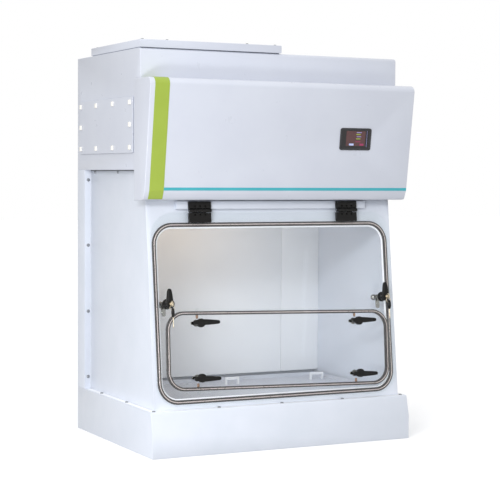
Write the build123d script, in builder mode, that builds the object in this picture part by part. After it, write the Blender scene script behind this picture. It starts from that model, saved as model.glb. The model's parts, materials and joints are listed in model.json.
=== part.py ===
from build123d import *
import os
from math import cos, radians, sin, tan

os.makedirs("parts", exist_ok=True)

# A benchtop filtration fume hood in welded polypropylene sheet: a plinth, a chamber with a
# slanted front and a top-hung clear door, a rear plenum, and a head with filters, fan and
# controls. Millimetres, +Z up, front towards -Y, origin at the middle of the footprint.

# Overall sizes
width = 800
depth = 570
front = -depth / 2
back = depth / 2
skin = 6
sheet = 8

# Plinth
plinth_height = 123
plinth_bend = 66
plinth_setback = 14
plinth_edge_radius = 4
deck_y = front + plinth_setback + skin
deck_depth = back - skin - deck_y
deck_width = width - 2 * skin
bearer = 20

# Head and rear plenum
head_bottom = 766
head_top = 1092
head_front = front + 92
head_edge_radius = 9
plenum_front = front + 511
lid_right = 26
lid_back = front + 458
lid_bottom = head_top + 2
lid_top = 1115

# Slanted chamber front: x across, s up the slope from the plane's origin
slope = 6.64
slope_plane = Plane(
    origin=(0, front + 33.8, 140),
    x_dir=(1, 0, 0),
    z_dir=(0, -cos(radians(slope)), sin(radians(slope))),
)
chamber_half = 380
front_half = 382
front_blank_middle = 300
front_blank_height = 700

# Window in the chamber front, with its edge seal
window_half = 363
window_low = 2
window_high = 481
window_radius = 54
seal_lip = 5.8
seal_front = 3.6
seal_back = 3

# Door sheet, hung from its top edge
door_half = 374.5
door_low = -9
door_high = 513
door_radius = 65
door_back = 4
door_front = 10

# Hatch in the door
hatch_x = 5
hatch_half = 342
hatch_low = 29
hatch_high = 234
hatch_radius = 47
hatch_lip = 5
hatch_margin = 9
hatch_tilt = 1.4
pane_back = 13.4
pane_front = 18.4

# Hinges
hinge_x = 230
hinge_width = 66
hinge_s = 518
hinge_off = 18.5
knuckle_radius = 5.5
pin_radius = 2.5
rail_front = 12
running = 0.05

# Hatch latches
latch_x = 247
latch_upper = 207
latch_lower = 58.5
latch_hub_radius = 12
arm_reach = 55
heel_reach = 23
cam_reach = 16.5
shaft_radius = 3

# Door side latches with locks
side_latch_x = 337
side_latch_s = 267
side_shaft_radius = 5
side_cam_reach = 32
side_arm_reach = 41
core_radius = 6

# Fascia
fascia_half = 408.4
fascia_top = 1010
fascia_low = 684
fascia_lean = 8.03
fascia_sheet = 6
nose_radius = 18
band_thickness = 0.8
nose_y = front + band_thickness + nose_radius
nose_z = fascia_top - nose_radius
cheek_back = front + 114
fascia_plane = Plane(
    origin=(
        0,
        nose_y - nose_radius * cos(radians(fascia_lean)),
        nose_z - nose_radius * sin(radians(fascia_lean)),
    ),
    x_dir=(1, 0, 0),
    z_dir=(0, -cos(radians(fascia_lean)), -sin(radians(fascia_lean))),
)
chin_z = 711

# Fan and filters
fan_x = -187
fan_y = front + 275
fan_deck_z = 956
impeller_radius = 130
inlet_radius = 92
filter_low = 834
filter_high = 950


def on_slope(offset):
    return slope_plane.offset(offset)


def slope_y(z, offset):
    """The y of the slanted plane, moved out by offset, at height z."""
    run = (z - slope_plane.origin.Z) * tan(radians(slope))
    return slope_plane.origin.Y + run - offset / cos(radians(slope))


def fascia_y(z):
    """The y of the fascia's front face at height z."""
    return fascia_plane.origin.Y + (fascia_plane.origin.Z - z) * tan(radians(fascia_lean))


# ---- Base

with BuildPart() as plinth:
    with BuildSketch(Plane.YZ.offset(-width / 2)):
        with BuildLine():
            Polyline(
                (front, 0),
                (front, plinth_bend),
                (front + plinth_setback, plinth_height),
                (back, plinth_height),
                (back, 0),
                close=True,
            )
        make_face()
    extrude(amount=width)
    fillet(plinth.edges().filter_by(Axis.X).group_by(Axis.Z)[-1].sort_by(Axis.Y)[0], plinth_edge_radius)
    with BuildSketch(Plane.XY):
        with Locations((0, deck_y + deck_depth / 2)):
            Rectangle(deck_width, deck_depth)
    extrude(amount=plinth_height, mode=Mode.SUBTRACT)
    with BuildSketch(Plane.XY.offset(plinth_height - sheet - bearer)):
        with Locations((0, deck_y + deck_depth / 2)):
            Rectangle(deck_width, deck_depth)
            Rectangle(deck_width - 2 * bearer, deck_depth - 2 * bearer, mode=Mode.SUBTRACT)
    extrude(amount=bearer)
plinth.part.label = "plinth"
export_step(plinth.part, "parts/plinth.step")

with BuildPart() as base_plate:
    with BuildSketch(Plane.XY):
        with Locations((0, deck_y + deck_depth / 2)):
            Rectangle(deck_width, deck_depth)
    extrude(amount=skin)
base_plate.part.label = "base_plate"
export_step(base_plate.part, "parts/base_plate.step")

with BuildPart() as deck:
    with BuildSketch(Plane.XY.offset(plinth_height - sheet)):
        with Locations((0, deck_y + deck_depth / 2)):
            Rectangle(deck_width, deck_depth)
    extrude(amount=sheet)
deck.part.label = "deck"
export_step(deck.part, "parts/deck.step")

# ---- Chamber

for side, name in ((-1, "side_panel_left"), (1, "side_panel_right")):
    inner = side * (chamber_half - sheet / 2) - sheet / 2
    with BuildPart() as side_panel:
        with BuildSketch(Plane.YZ.offset(inner)):
            with BuildLine():
                Polyline(
                    (slope_y(plinth_height, -sheet), plinth_height),
                    (slope_y(head_bottom, -sheet), head_bottom),
                    (plenum_front, head_bottom),
                    (plenum_front, plinth_height),
                    close=True,
                )
            make_face()
        extrude(amount=sheet)
    side_panel.part.label = name
    export_step(side_panel.part, f"parts/{name}.step")

window_s = (window_low + window_high) / 2
window_size = (2 * window_half, window_high - window_low)

with BuildPart() as front_frame:
    with BuildSketch(on_slope(0)):
        with Locations((0, front_blank_middle)):
            Rectangle(2 * front_half, front_blank_height)
        with Locations((0, window_s)):
            RectangleRounded(*window_size, window_radius, mode=Mode.SUBTRACT)
    extrude(amount=-sheet)
    split(bisect_by=Plane.XY.offset(plinth_height), keep=Keep.TOP)
    split(bisect_by=Plane.XY.offset(head_bottom), keep=Keep.BOTTOM)
front_frame.part.label = "front_frame"
export_step(front_frame.part, "parts/front_frame.step")

# U-shaped edge seal, gripping the window's edge
with BuildPart() as door_seal:
    with BuildSketch(on_slope(-sheet - seal_back)):
        with Locations((0, window_s)):
            RectangleRounded(
                window_size[0] + 2 * seal_lip, window_size[1] + 2 * seal_lip, window_radius + seal_lip
            )
            RectangleRounded(
                window_size[0] - 2 * seal_lip,
                window_size[1] - 2 * seal_lip,
                window_radius - seal_lip,
                mode=Mode.SUBTRACT,
            )
    extrude(amount=sheet + seal_back + seal_front)
    with BuildSketch(on_slope(-sheet)):
        with Locations((0, window_s)):
            RectangleRounded(
                window_size[0] + 4 * seal_lip, window_size[1] + 4 * seal_lip, window_radius + 2 * seal_lip
            )
            RectangleRounded(*window_size, window_radius, mode=Mode.SUBTRACT)
    extrude(amount=sheet, mode=Mode.SUBTRACT)
door_seal.part.label = "door_seal"
export_step(door_seal.part, "parts/door_seal.step")

# Rear baffle plates stand off the plenum, with air gaps above and below
baffle_front = front + 490
baffle_half = chamber_half - sheet
baffle_low = plinth_height + 22
baffle_high = head_bottom - 26
baffle_seam = 240
baffle_gap = 1
standoff_radius = 6

for name, low_x, high_x in (
    ("baffle_main", -baffle_half, baffle_seam - baffle_gap / 2),
    ("baffle_end", baffle_seam + baffle_gap / 2, baffle_half),
):
    middle = (low_x + high_x) / 2
    with BuildPart() as baffle:
        with BuildSketch(Plane.XZ.offset(-baffle_front)):
            with Locations((middle, (baffle_low + baffle_high) / 2)):
                Rectangle(high_x - low_x, baffle_high - baffle_low)
        extrude(amount=-skin)
        with BuildSketch(Plane.XZ.offset(-baffle_front - skin)):
            with Locations((middle, (baffle_low + baffle_high) / 2)):
                with GridLocations((high_x - low_x) * 0.8, (baffle_high - baffle_low) * 0.86, 2, 2):
                    Circle(standoff_radius)
        extrude(amount=-(plenum_front - baffle_front - skin))
    baffle.part.label = name
    export_step(baffle.part, f"parts/{name}.step")

duct_slot = (200, 60)
duct_slot_pitch = (230, 470)
plenum_depth = back - plenum_front
plenum_y = (back + plenum_front) / 2

with BuildPart() as rear_plenum:
    with BuildSketch(Plane.XY.offset(plinth_height)):
        with Locations((0, plenum_y)):
            Rectangle(width, plenum_depth)
    extrude(amount=head_bottom - plinth_height)
    with BuildSketch(Plane.XY.offset(plinth_height + skin)):
        with Locations((0, plenum_y)):
            Rectangle(width - 2 * skin, plenum_depth - 2 * skin)
    extrude(amount=head_bottom - plinth_height, mode=Mode.SUBTRACT)
    with BuildSketch(Plane.XZ.offset(-plenum_front)):
        with Locations((0, (plinth_height + head_bottom) / 2)):
            with GridLocations(*duct_slot_pitch, 3, 2):
                SlotOverall(*duct_slot)
    extrude(amount=-skin, mode=Mode.SUBTRACT)
rear_plenum.part.label = "rear_plenum"
export_step(rear_plenum.part, "parts/rear_plenum.step")

# ---- Head

head_depth = back - head_front
head_y = (back + head_front) / 2
access_y = front + 338
access_z = 888
access_size = (404, 152)
lid_x = (lid_right - width / 2) / 2
lid_width = lid_right + width / 2
lid_depth = lid_back - head_front
lid_y = (lid_back + head_front) / 2
inlet_x = 320
inlet_z = 800
inlet_size = (50, 30)
inlet_depth = 26
socket_size = (27, 19)
socket_depth = 18
lid_margin = 40
access_lap = 7
panel_thickness = 3

with BuildPart() as head_shell:
    with BuildSketch(Plane.XY.offset(head_bottom)):
        with Locations((0, head_y)):
            Rectangle(width, head_depth)
    extrude(amount=head_top - head_bottom)
    fillet(head_shell.edges().filter_by(Axis.X).group_by(Axis.Z)[-1].sort_by(Axis.Y)[0], head_edge_radius)
    with BuildSketch(Plane.XY.offset(head_bottom)):
        with Locations((0, head_y)):
            Rectangle(width - 2 * skin, head_depth - 2 * skin)
    extrude(amount=head_top - head_bottom - skin, mode=Mode.SUBTRACT)
    with BuildSketch(Plane.XY.offset(head_top)):
        with Locations((lid_x, lid_y)):
            Rectangle(lid_width - lid_margin, lid_depth - lid_margin)
    extrude(amount=-skin, mode=Mode.SUBTRACT)
    with BuildSketch(Plane.YZ.offset(-width / 2)):
        with Locations((access_y, access_z)):
            Rectangle(access_size[0] - 2 * access_lap, access_size[1] - 2 * access_lap)
    extrude(amount=skin, mode=Mode.SUBTRACT)
    with BuildSketch(Plane.XZ.offset(-back)):
        with Locations((inlet_x, inlet_z)):
            Rectangle(*inlet_size)
    extrude(amount=skin, mode=Mode.SUBTRACT)
head_shell.part.label = "head_shell"
export_step(head_shell.part, "parts/head_shell.step")

with BuildPart() as chamber_ceiling:
    with BuildSketch(Plane.XY.offset(head_bottom)):
        with Locations((0, head_y)):
            Rectangle(width - 2 * skin, head_depth - 2 * skin)
        with Locations((0, plenum_y)):
            Rectangle(width - 60, plenum_depth - 2 * skin, mode=Mode.SUBTRACT)
    extrude(amount=sheet)
chamber_ceiling.part.label = "chamber_ceiling"
export_step(chamber_ceiling.part, "parts/chamber_ceiling.step")

lamp_y = front + 170
lamp_length = 500
lamp_width = 44
lamp_height = 18
with BuildPart() as lamp:
    with BuildSketch(Plane.YZ.offset(-lamp_length / 2)):
        with Locations((lamp_y, head_bottom - lamp_height / 2)):
            Trapezoid(lamp_width, lamp_height, 60, rotation=180)
    extrude(amount=lamp_length)
lamp.part.label = "lamp"
export_step(lamp.part, "parts/lamp.step")

with BuildPart() as access_panel:
    with BuildSketch(Plane.YZ.offset(-width / 2)):
        with Locations((access_y, access_z)):
            RectangleRounded(*access_size, 4)
    extrude(amount=-panel_thickness)
    fillet(access_panel.faces().sort_by(Axis.X)[0].edges(), 1)
access_panel.part.label = "access_panel"
export_step(access_panel.part, "parts/access_panel.step")

cap_size = 14
cap_height = 4
cap_rows = ((61, (-182, -56, 72, 196)), (1, (-182, 196)), (-61, (-182, -56, 72, 196)))
cap_places = [(access_y + y, access_z + z) for z, row in cap_rows for y in row]
with BuildPart() as access_caps:
    with BuildSketch(Plane.YZ.offset(-width / 2 - panel_thickness)):
        with Locations(*cap_places):
            RectangleRounded(cap_size, cap_size, 2)
    extrude(amount=-cap_height, taper=12)
access_caps.part.label = "access_caps"
export_step(access_caps.part, "parts/access_caps.step")

lid_sheet = 4
exhaust_slot = (90, 7)
with BuildPart() as top_lid:
    with BuildSketch(Plane.XY.offset(lid_bottom)):
        with Locations((lid_x, lid_y)):
            Rectangle(lid_width, lid_depth)
    extrude(amount=lid_top - lid_bottom)
    fillet(top_lid.faces().sort_by(Axis.Z)[-1].edges(), 2)
    with BuildSketch(Plane.XY.offset(lid_bottom)):
        with Locations((lid_x, lid_y)):
            Rectangle(lid_width - 2 * skin, lid_depth - 2 * skin)
    extrude(amount=lid_top - lid_bottom - lid_sheet, mode=Mode.SUBTRACT)
    with BuildSketch(Plane.XY.offset(lid_top)):
        with Locations((lid_x, lid_y)):
            with GridLocations(18, 110, 14, 2):
                SlotOverall(*exhaust_slot, rotation=90)
    extrude(amount=-lid_sheet, mode=Mode.SUBTRACT)
top_lid.part.label = "top_lid"
export_step(top_lid.part, "parts/top_lid.step")

with BuildPart() as lid_gasket:
    with BuildSketch(Plane.XY.offset(head_top)):
        with Locations((lid_x, lid_y)):
            Rectangle(lid_width - 6, lid_depth - 6)
            Rectangle(lid_width - 36, lid_depth - 36, mode=Mode.SUBTRACT)
    extrude(amount=lid_bottom - head_top)
    with BuildSketch(Plane.XY.offset(head_top - 1)):
        with Locations((lid_x, head_front)):
            Rectangle(lid_width, 2 * head_edge_radius + 2)
    extrude(amount=lid_bottom - head_top + 2, mode=Mode.SUBTRACT)
lid_gasket.part.label = "lid_gasket"
export_step(lid_gasket.part, "parts/lid_gasket.step")

with BuildPart() as power_inlet:
    with BuildSketch(Plane.XZ.offset(-back)):
        with Locations((inlet_x, inlet_z)):
            Rectangle(*inlet_size)
    extrude(amount=inlet_depth)
    with BuildSketch(Plane.XZ.offset(-back)):
        with Locations((inlet_x, inlet_z)):
            RectangleRounded(*socket_size, 4)
    extrude(amount=socket_depth, mode=Mode.SUBTRACT)
    with BuildSketch(Plane.XZ.offset(-back + socket_depth)):
        with Locations((inlet_x, inlet_z)):
            with Locations((-7, 0), (7, 0), (0, 3)):
                Rectangle(2, 5)
    extrude(amount=-13)
power_inlet.part.label = "power_inlet"
export_step(power_inlet.part, "parts/power_inlet.step")

# ---- Filters and fan inside the head

filter_y = access_y
filter_width = 780
filter_depth = 380
filter_border = 20
filter_recess = 12
prefilter_height = 12

with BuildPart() as filter_rails:
    for side in (-1, 1):
        rail_y = filter_y + side * (filter_depth / 2 + 3)
        with BuildSketch(Plane.YZ.offset(-(width / 2 - skin))):
            with Locations((rail_y, (head_bottom + sheet + filter_low) / 2)):
                Rectangle(4, filter_low - head_bottom - sheet)
            with Locations((rail_y - side * 10, filter_low - 14)):
                Rectangle(24, 4)
        extrude(amount=width - 2 * skin)
filter_rails.part.label = "filter_rails"
export_step(filter_rails.part, "parts/filter_rails.step")

with BuildPart() as prefilter:
    with BuildSketch(Plane.XY.offset(filter_low - prefilter_height)):
        with Locations((0, filter_y)):
            Rectangle(filter_width, filter_depth - 8)
    extrude(amount=prefilter_height)
prefilter.part.label = "prefilter"
export_step(prefilter.part, "parts/prefilter.step")

with BuildPart() as main_filter:
    with BuildSketch(Plane.XY.offset(filter_low)):
        with Locations((0, filter_y)):
            Rectangle(filter_width, filter_depth)
    extrude(amount=filter_high - filter_low)
    for level, way in ((filter_low, 1), (filter_high, -1)):
        with BuildSketch(Plane.XY.offset(level)):
            with Locations((0, filter_y)):
                Rectangle(filter_width - 2 * filter_border, filter_depth - 2 * filter_border)
        extrude(amount=way * filter_recess, mode=Mode.SUBTRACT)
main_filter.part.label = "main_filter"
export_step(main_filter.part, "parts/main_filter.step")

with BuildPart() as filter_gasket:
    with BuildSketch(Plane.XY.offset(filter_high)):
        with Locations((0, filter_y)):
            Rectangle(filter_width, filter_depth)
            Rectangle(filter_width - 2 * filter_border, filter_depth - 2 * filter_border, mode=Mode.SUBTRACT)
    extrude(amount=fan_deck_z - filter_high)
filter_gasket.part.label = "filter_gasket"
export_step(filter_gasket.part, "parts/filter_gasket.step")

with BuildPart() as fan_deck:
    with BuildSketch(Plane.XY.offset(fan_deck_z)):
        with Locations((0, head_y)):
            Rectangle(width - 2 * skin, head_depth - 2 * skin)
    extrude(amount=skin)
    with BuildSketch(Plane.XY.offset(fan_deck_z)):
        with Locations((fan_x, fan_y)):
            Circle(inlet_radius - 2)
    extrude(amount=skin + 5)
    with BuildSketch(Plane.XY.offset(fan_deck_z)):
        with Locations((fan_x, fan_y)):
            Circle(inlet_radius - 5)
    extrude(amount=skin + 5, mode=Mode.SUBTRACT)
fan_deck.part.label = "fan_deck"
export_step(fan_deck.part, "parts/fan_deck.step")

fan_low = fan_deck_z + skin + 4
blade_low = fan_low + 3
blade_high = blade_low + 52
motor_low = blade_high + 9
motor_high = motor_low + 30
motor_radius = 60
fan_shaft_radius = 6
post_circle = 150

with BuildPart() as fan_bracket:
    with BuildSketch(Plane.XY.offset(motor_high)):
        with Locations((fan_x, fan_y)):
            Rectangle(2 * post_circle * cos(radians(45)) + 24, 60)
            Rectangle(60, 2 * post_circle * cos(radians(45)) + 24)
            with GridLocations(2 * post_circle * cos(radians(45)), 2 * post_circle * cos(radians(45)), 2, 2):
                Rectangle(24, 60)
                Rectangle(60, 24)
    extrude(amount=skin)
    with BuildSketch(Plane.XY.offset(fan_deck_z + skin)):
        with Locations((fan_x, fan_y)):
            with PolarLocations(post_circle, 4, start_angle=45):
                Circle(7)
    extrude(amount=motor_high - fan_deck_z - skin)
fan_bracket.part.label = "fan_bracket"
export_step(fan_bracket.part, "parts/fan_bracket.step")

with BuildPart() as fan_motor:
    with BuildSketch(Plane.XY.offset(motor_low)):
        with Locations((fan_x, fan_y)):
            Circle(motor_radius)
    extrude(amount=motor_high - motor_low)
    fillet(fan_motor.edges().group_by(Axis.Z)[0], 5)
    with BuildSketch(Plane.XY.offset(motor_low)):
        with Locations((fan_x, fan_y)):
            Circle(fan_shaft_radius)
    extrude(amount=-36)
fan_motor.part.label = "fan_motor"
export_step(fan_motor.part, "parts/fan_motor.step")

with BuildPart() as fan_impeller:
    with BuildSketch(Plane.XY.offset(fan_low)):
        with Locations((fan_x, fan_y)):
            Circle(impeller_radius)
            Circle(inlet_radius, mode=Mode.SUBTRACT)
    extrude(amount=blade_low - fan_low)
    with BuildSketch(Plane.XY.offset(blade_low)):
        with Locations((fan_x, fan_y)):
            with PolarLocations(104, 9):
                Rectangle(48, 3, rotation=52)
    extrude(amount=blade_high - blade_low)
    with BuildSketch(Plane.XY.offset(blade_high)):
        with Locations((fan_x, fan_y)):
            Circle(impeller_radius)
    extrude(amount=3)
    with BuildSketch(Plane.XY.offset(blade_high)):
        with Locations((fan_x, fan_y)):
            Circle(16)
    extrude(amount=-20)
    with BuildSketch(Plane.XY.offset(blade_high - 20)):
        with Locations((fan_x, fan_y)):
            Circle(fan_shaft_radius + running)
    extrude(amount=23, mode=Mode.SUBTRACT)
fan_impeller.part.label = "fan_impeller"
export_step(fan_impeller.part, "parts/fan_impeller.step")

# ---- Fascia with its bands and display

nose_front = fascia_plane.origin.Y
nose_low = fascia_plane.origin.Z
chin = [
    (fascia_y(chin_z), chin_z),
    (front + 49, 691),
    (front + 53, 686.5),
    (front + 62, fascia_low + 1),
    (cheek_back, fascia_low),
]
diagonal = radians(45 + fascia_lean / 2)
nose_middle = (nose_y - nose_radius * cos(diagonal - radians(fascia_lean)),
               nose_z + nose_radius * sin(diagonal - radians(fascia_lean)))

with BuildSketch(Plane.YZ) as fascia_side:
    with BuildLine():
        Line((cheek_back, fascia_top), (nose_y, fascia_top))
        ThreePointArc((nose_y, fascia_top), nose_middle, (nose_front, nose_low))
        Polyline((nose_front, nose_low), *chin, (cheek_back, fascia_top))
    make_face()

display_x = 224
display_v = (856.5 - nose_low) / cos(radians(fascia_lean))
display_size = (100, 62)

with BuildPart() as fascia:
    with BuildSketch(Plane.YZ.offset(-fascia_half)):
        add(fascia_side.sketch_local.face())
    extrude(amount=2 * fascia_half)
    chamfer(fascia.faces().sort_by(Axis.X)[0].edges(), 1.5)
    chamfer(fascia.faces().sort_by(Axis.X)[-1].edges(), 1.5)
    with BuildSketch(Plane.YZ.offset(-width / 2)):
        add(fascia_side.sketch_local.face())
        offset(amount=-fascia_sheet, mode=Mode.REPLACE)
    extrude(amount=width, mode=Mode.SUBTRACT)
    with BuildSketch(Plane.YZ.offset(-width / 2)):
        with Locations(((head_front + cheek_back) / 2 + 1, (fascia_low + fascia_top) / 2)):
            Rectangle(cheek_back - head_front + 2, fascia_top - fascia_low + 4)
    extrude(amount=width, mode=Mode.SUBTRACT)
    with BuildSketch(fascia_plane):
        with Locations((display_x, display_v)):
            Rectangle(display_size[0] - 12, display_size[1] - 12)
    extrude(amount=-3 * fascia_sheet, mode=Mode.SUBTRACT)
fascia.part.label = "fascia"
export_step(fascia.part, "parts/fascia.step")

band_left = -394.5
band_right = -353
band_low = 688

with BuildPart() as green_band:
    with BuildSketch(Plane.YZ.offset(band_left)):
        add(fascia_side.sketch_local.face())
        offset(amount=band_thickness, kind=Kind.INTERSECTION, mode=Mode.REPLACE)
        add(fascia_side.sketch_local.face(), mode=Mode.SUBTRACT)
        with Locations(((front + head_front) / 2 - 1, (band_low + fascia_top) / 2 + 1)):
            Rectangle(head_front - front + 2, fascia_top - band_low + 2, mode=Mode.INTERSECT)
    extrude(amount=band_right - band_left)
green_band.part.label = "green_band"
export_step(green_band.part, "parts/green_band.step")

teal_low = (chin_z + 0.5 - nose_low) / cos(radians(fascia_lean))
with BuildPart() as teal_band:
    with BuildSketch(fascia_plane):
        with Locations(((band_right + fascia_half - 1.5) / 2, teal_low + 4)):
            Rectangle(fascia_half - 1.5 - band_right, 8)
    extrude(amount=band_thickness)
teal_band.part.label = "teal_band"
export_step(teal_band.part, "parts/teal_band.step")

with BuildPart() as display_bezel:
    with BuildSketch(fascia_plane):
        with Locations((display_x, display_v)):
            RectangleRounded(*display_size, 6)
            Rectangle(display_size[0] - 12, display_size[1] - 12, mode=Mode.SUBTRACT)
    extrude(amount=2.6)
    with BuildSketch(fascia_plane):
        with Locations((display_x, display_v)):
            Rectangle(display_size[0] - 12, display_size[1] - 12)
            Rectangle(display_size[0] - 16, display_size[1] - 16, mode=Mode.SUBTRACT)
    extrude(amount=-fascia_sheet - 2)
display_bezel.part.label = "display_bezel"
export_step(display_bezel.part, "parts/display_bezel.step")

with BuildPart() as display_glass:
    with BuildSketch(fascia_plane.offset(0.2)):
        with Locations((display_x, display_v)):
            Rectangle(display_size[0] - 12, display_size[1] - 12)
    extrude(amount=2)
display_glass.part.label = "display_glass"
export_step(display_glass.part, "parts/display_glass.step")

with BuildPart() as control_board:
    with BuildSketch(fascia_plane.offset(-fascia_sheet - 2)):
        with Locations((display_x, display_v)):
            Rectangle(130, 90)
    extrude(amount=-2)
    with BuildSketch(fascia_plane.offset(-fascia_sheet - 2)):
        with Locations((display_x, display_v)):
            with GridLocations(110, 72, 2, 2):
                Circle(3)
    extrude(amount=2)
    with BuildSketch(fascia_plane.offset(-fascia_sheet - 4)):
        with Locations((display_x - 30, display_v), (display_x + 34, display_v + 10)):
            Rectangle(24, 24)
    extrude(amount=-6)
control_board.part.label = "control_board"
export_step(control_board.part, "parts/control_board.step")

# ---- Hinge rail and hinges

rail_s = 534
rail_height = 22
rail_width = 592

with BuildPart() as hinge_rail:
    with BuildSketch(on_slope(0)):
        with Locations((0, rail_s)):
            Rectangle(rail_width, rail_height)
    extrude(amount=rail_front)
    fillet(hinge_rail.edges().filter_by(Axis.X).group_by(Axis.Z)[-1], 3)
hinge_rail.part.label = "hinge_rail"
export_step(hinge_rail.part, "parts/hinge_rail.step")

segment = hinge_width / 5
clear = knuckle_radius + 0.8
knuckle_plane = Plane(
    origin=slope_plane.from_local_coords((0, hinge_s, hinge_off)),
    x_dir=slope_plane.y_dir,
    z_dir=(1, 0, 0),
)


def knuckle_rows(start):
    """Middles of every second knuckle of both hinges."""
    return [
        place + (index - 2) * segment
        for place in (-hinge_x, hinge_x)
        for index in range(start, 5, 2)
    ]


hinge_leaves = (
    ("hinge_fixed_leaves", rail_front, 20, hinge_s + clear, 543, 529.5, 0),
    ("hinge_door_leaves", door_front, hinge_off, 486, hinge_s - clear, 506, 1),
)
for name, leaf_back, leaf_front, leaf_low, leaf_high, hole_s, start in hinge_leaves:
    with BuildPart() as leaves:
        with BuildSketch(on_slope(leaf_back)):
            with Locations((-hinge_x, (leaf_low + leaf_high) / 2), (hinge_x, (leaf_low + leaf_high) / 2)):
                Rectangle(hinge_width, leaf_high - leaf_low)
        extrude(amount=leaf_front - leaf_back)
        away = 1 if start == 0 else -1
        chamfer(leaves.edges().filter_by(Axis.X).group_by(Axis.Z)[-1 if start == 0 else 0], 1.5)
        with BuildSketch(on_slope(leaf_front)):
            for place in (-hinge_x, hinge_x):
                with Locations((place, hole_s)):
                    with GridLocations(15.5, 1, 3, 1):
                        Circle(2.8)
        extrude(amount=-4.5, mode=Mode.SUBTRACT)
        for middle in knuckle_rows(start):
            knuckle = knuckle_plane.offset(middle - segment / 2 + 0.2)
            with BuildSketch(knuckle):
                Circle(knuckle_radius)
                with Locations((away * (clear + 1) / 2, (leaf_back - leaf_front) / 2 + leaf_front - hinge_off - 1)):
                    Rectangle(clear + 1, leaf_front - leaf_back - 3)
            extrude(amount=segment - 0.4)
            with BuildSketch(knuckle):
                Circle(pin_radius + running)
            extrude(amount=segment - 0.4, mode=Mode.SUBTRACT)
    leaves.part.label = name
    export_step(leaves.part, f"parts/{name}.step")

with BuildPart() as hinge_pins:
    for place in (-hinge_x, hinge_x):
        with BuildSketch(knuckle_plane.offset(place - hinge_width / 2)):
            Circle(pin_radius)
        extrude(amount=hinge_width)
hinge_pins.part.label = "hinge_pins"
export_step(hinge_pins.part, "parts/hinge_pins.step")

# ---- Door

door_s = (door_low + door_high) / 2
hatch_s = (hatch_low + hatch_high) / 2
hatch_size = (2 * hatch_half, hatch_high - hatch_low)

# The hatch hangs a little lower at the right: its plane is the slope's, turned about its middle
hatch_plane = Plane(
    slope_plane.location
    * Location((hatch_x, hatch_s, 0), (0, 0, -hatch_tilt))
    * Location((-hatch_x, -hatch_s, 0))
)

with BuildPart() as door_sheet:
    with BuildSketch(on_slope(door_back)):
        with Locations((0, door_s)):
            RectangleRounded(2 * door_half, door_high - door_low, door_radius)
        with Locations((-side_latch_x, side_latch_s), (side_latch_x, side_latch_s)):
            Circle(side_shaft_radius + running, mode=Mode.SUBTRACT)
    extrude(amount=door_front - door_back)
    with BuildSketch(hatch_plane.offset(door_back)):
        with Locations((hatch_x, hatch_s)):
            RectangleRounded(*hatch_size, hatch_radius)
    extrude(amount=door_front - door_back, mode=Mode.SUBTRACT)
door_sheet.part.label = "door_sheet"
export_step(door_sheet.part, "parts/door_sheet.step")

with BuildPart() as hatch_seal:
    with BuildSketch(hatch_plane.offset(door_back - 2.5)):
        with Locations((hatch_x, hatch_s)):
            RectangleRounded(
                hatch_size[0] + 2 * hatch_lip, hatch_size[1] + 2 * hatch_lip, hatch_radius + hatch_lip
            )
            RectangleRounded(
                hatch_size[0] - 2 * hatch_lip,
                hatch_size[1] - 2 * hatch_lip,
                hatch_radius - hatch_lip,
                mode=Mode.SUBTRACT,
            )
    extrude(amount=door_front + 3 - door_back + 2.5)
    with BuildSketch(hatch_plane.offset(door_back)):
        with Locations((hatch_x, hatch_s)):
            RectangleRounded(
                hatch_size[0] + 4 * hatch_lip, hatch_size[1] + 4 * hatch_lip, hatch_radius + 2 * hatch_lip
            )
            RectangleRounded(*hatch_size, hatch_radius, mode=Mode.SUBTRACT)
    extrude(amount=door_front - door_back, mode=Mode.SUBTRACT)
hatch_seal.part.label = "hatch_seal"
export_step(hatch_seal.part, "parts/hatch_seal.step")

# Keeper bars reach in past the hatch seal, for the latch cams to turn behind
keeper_back = -2.5
keeper_front = door_back - 2.6
keeper_width = 9
keeper_length = 30
foot_length = 8
with BuildPart() as hatch_keepers:
    for s, way in ((hatch_high, 1), (hatch_low, -1)):
        for x in (-latch_x, latch_x):
            with BuildSketch(hatch_plane.offset(keeper_back)):
                with Locations((x, s)):
                    Rectangle(keeper_width, keeper_length)
            extrude(amount=keeper_front - keeper_back)
            with BuildSketch(hatch_plane.offset(keeper_front)):
                with Locations((x, s + way * (keeper_length - foot_length) / 2)):
                    Rectangle(keeper_width, foot_length)
            extrude(amount=door_back - keeper_front)
hatch_keepers.part.label = "hatch_keepers"
export_step(hatch_keepers.part, "parts/hatch_keepers.step")

# ---- Hatch pane and its four latches

with BuildPart() as hatch_pane:
    with BuildSketch(hatch_plane.offset(pane_back)):
        with Locations((hatch_x, hatch_s)):
            RectangleRounded(
                hatch_size[0] + 2 * hatch_margin,
                hatch_size[1] + 2 * hatch_margin,
                hatch_radius + hatch_margin,
            )
        with Locations(*[(x, s) for x in (-latch_x, latch_x) for s in (latch_upper, latch_lower)]):
            Circle(shaft_radius + running, mode=Mode.SUBTRACT)
    extrude(amount=pane_front - pane_back)
hatch_pane.part.label = "hatch_pane"
export_step(hatch_pane.part, "parts/hatch_pane.step")

cam_back = -6.5
cam_front = -3
cam_width = 9
nut_radius = 9.5
nut_length = 9
hub_height = 11
arm_lift = 4
arm_thickness = 11
shaft_grip = 9
arm_shift = 2

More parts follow.
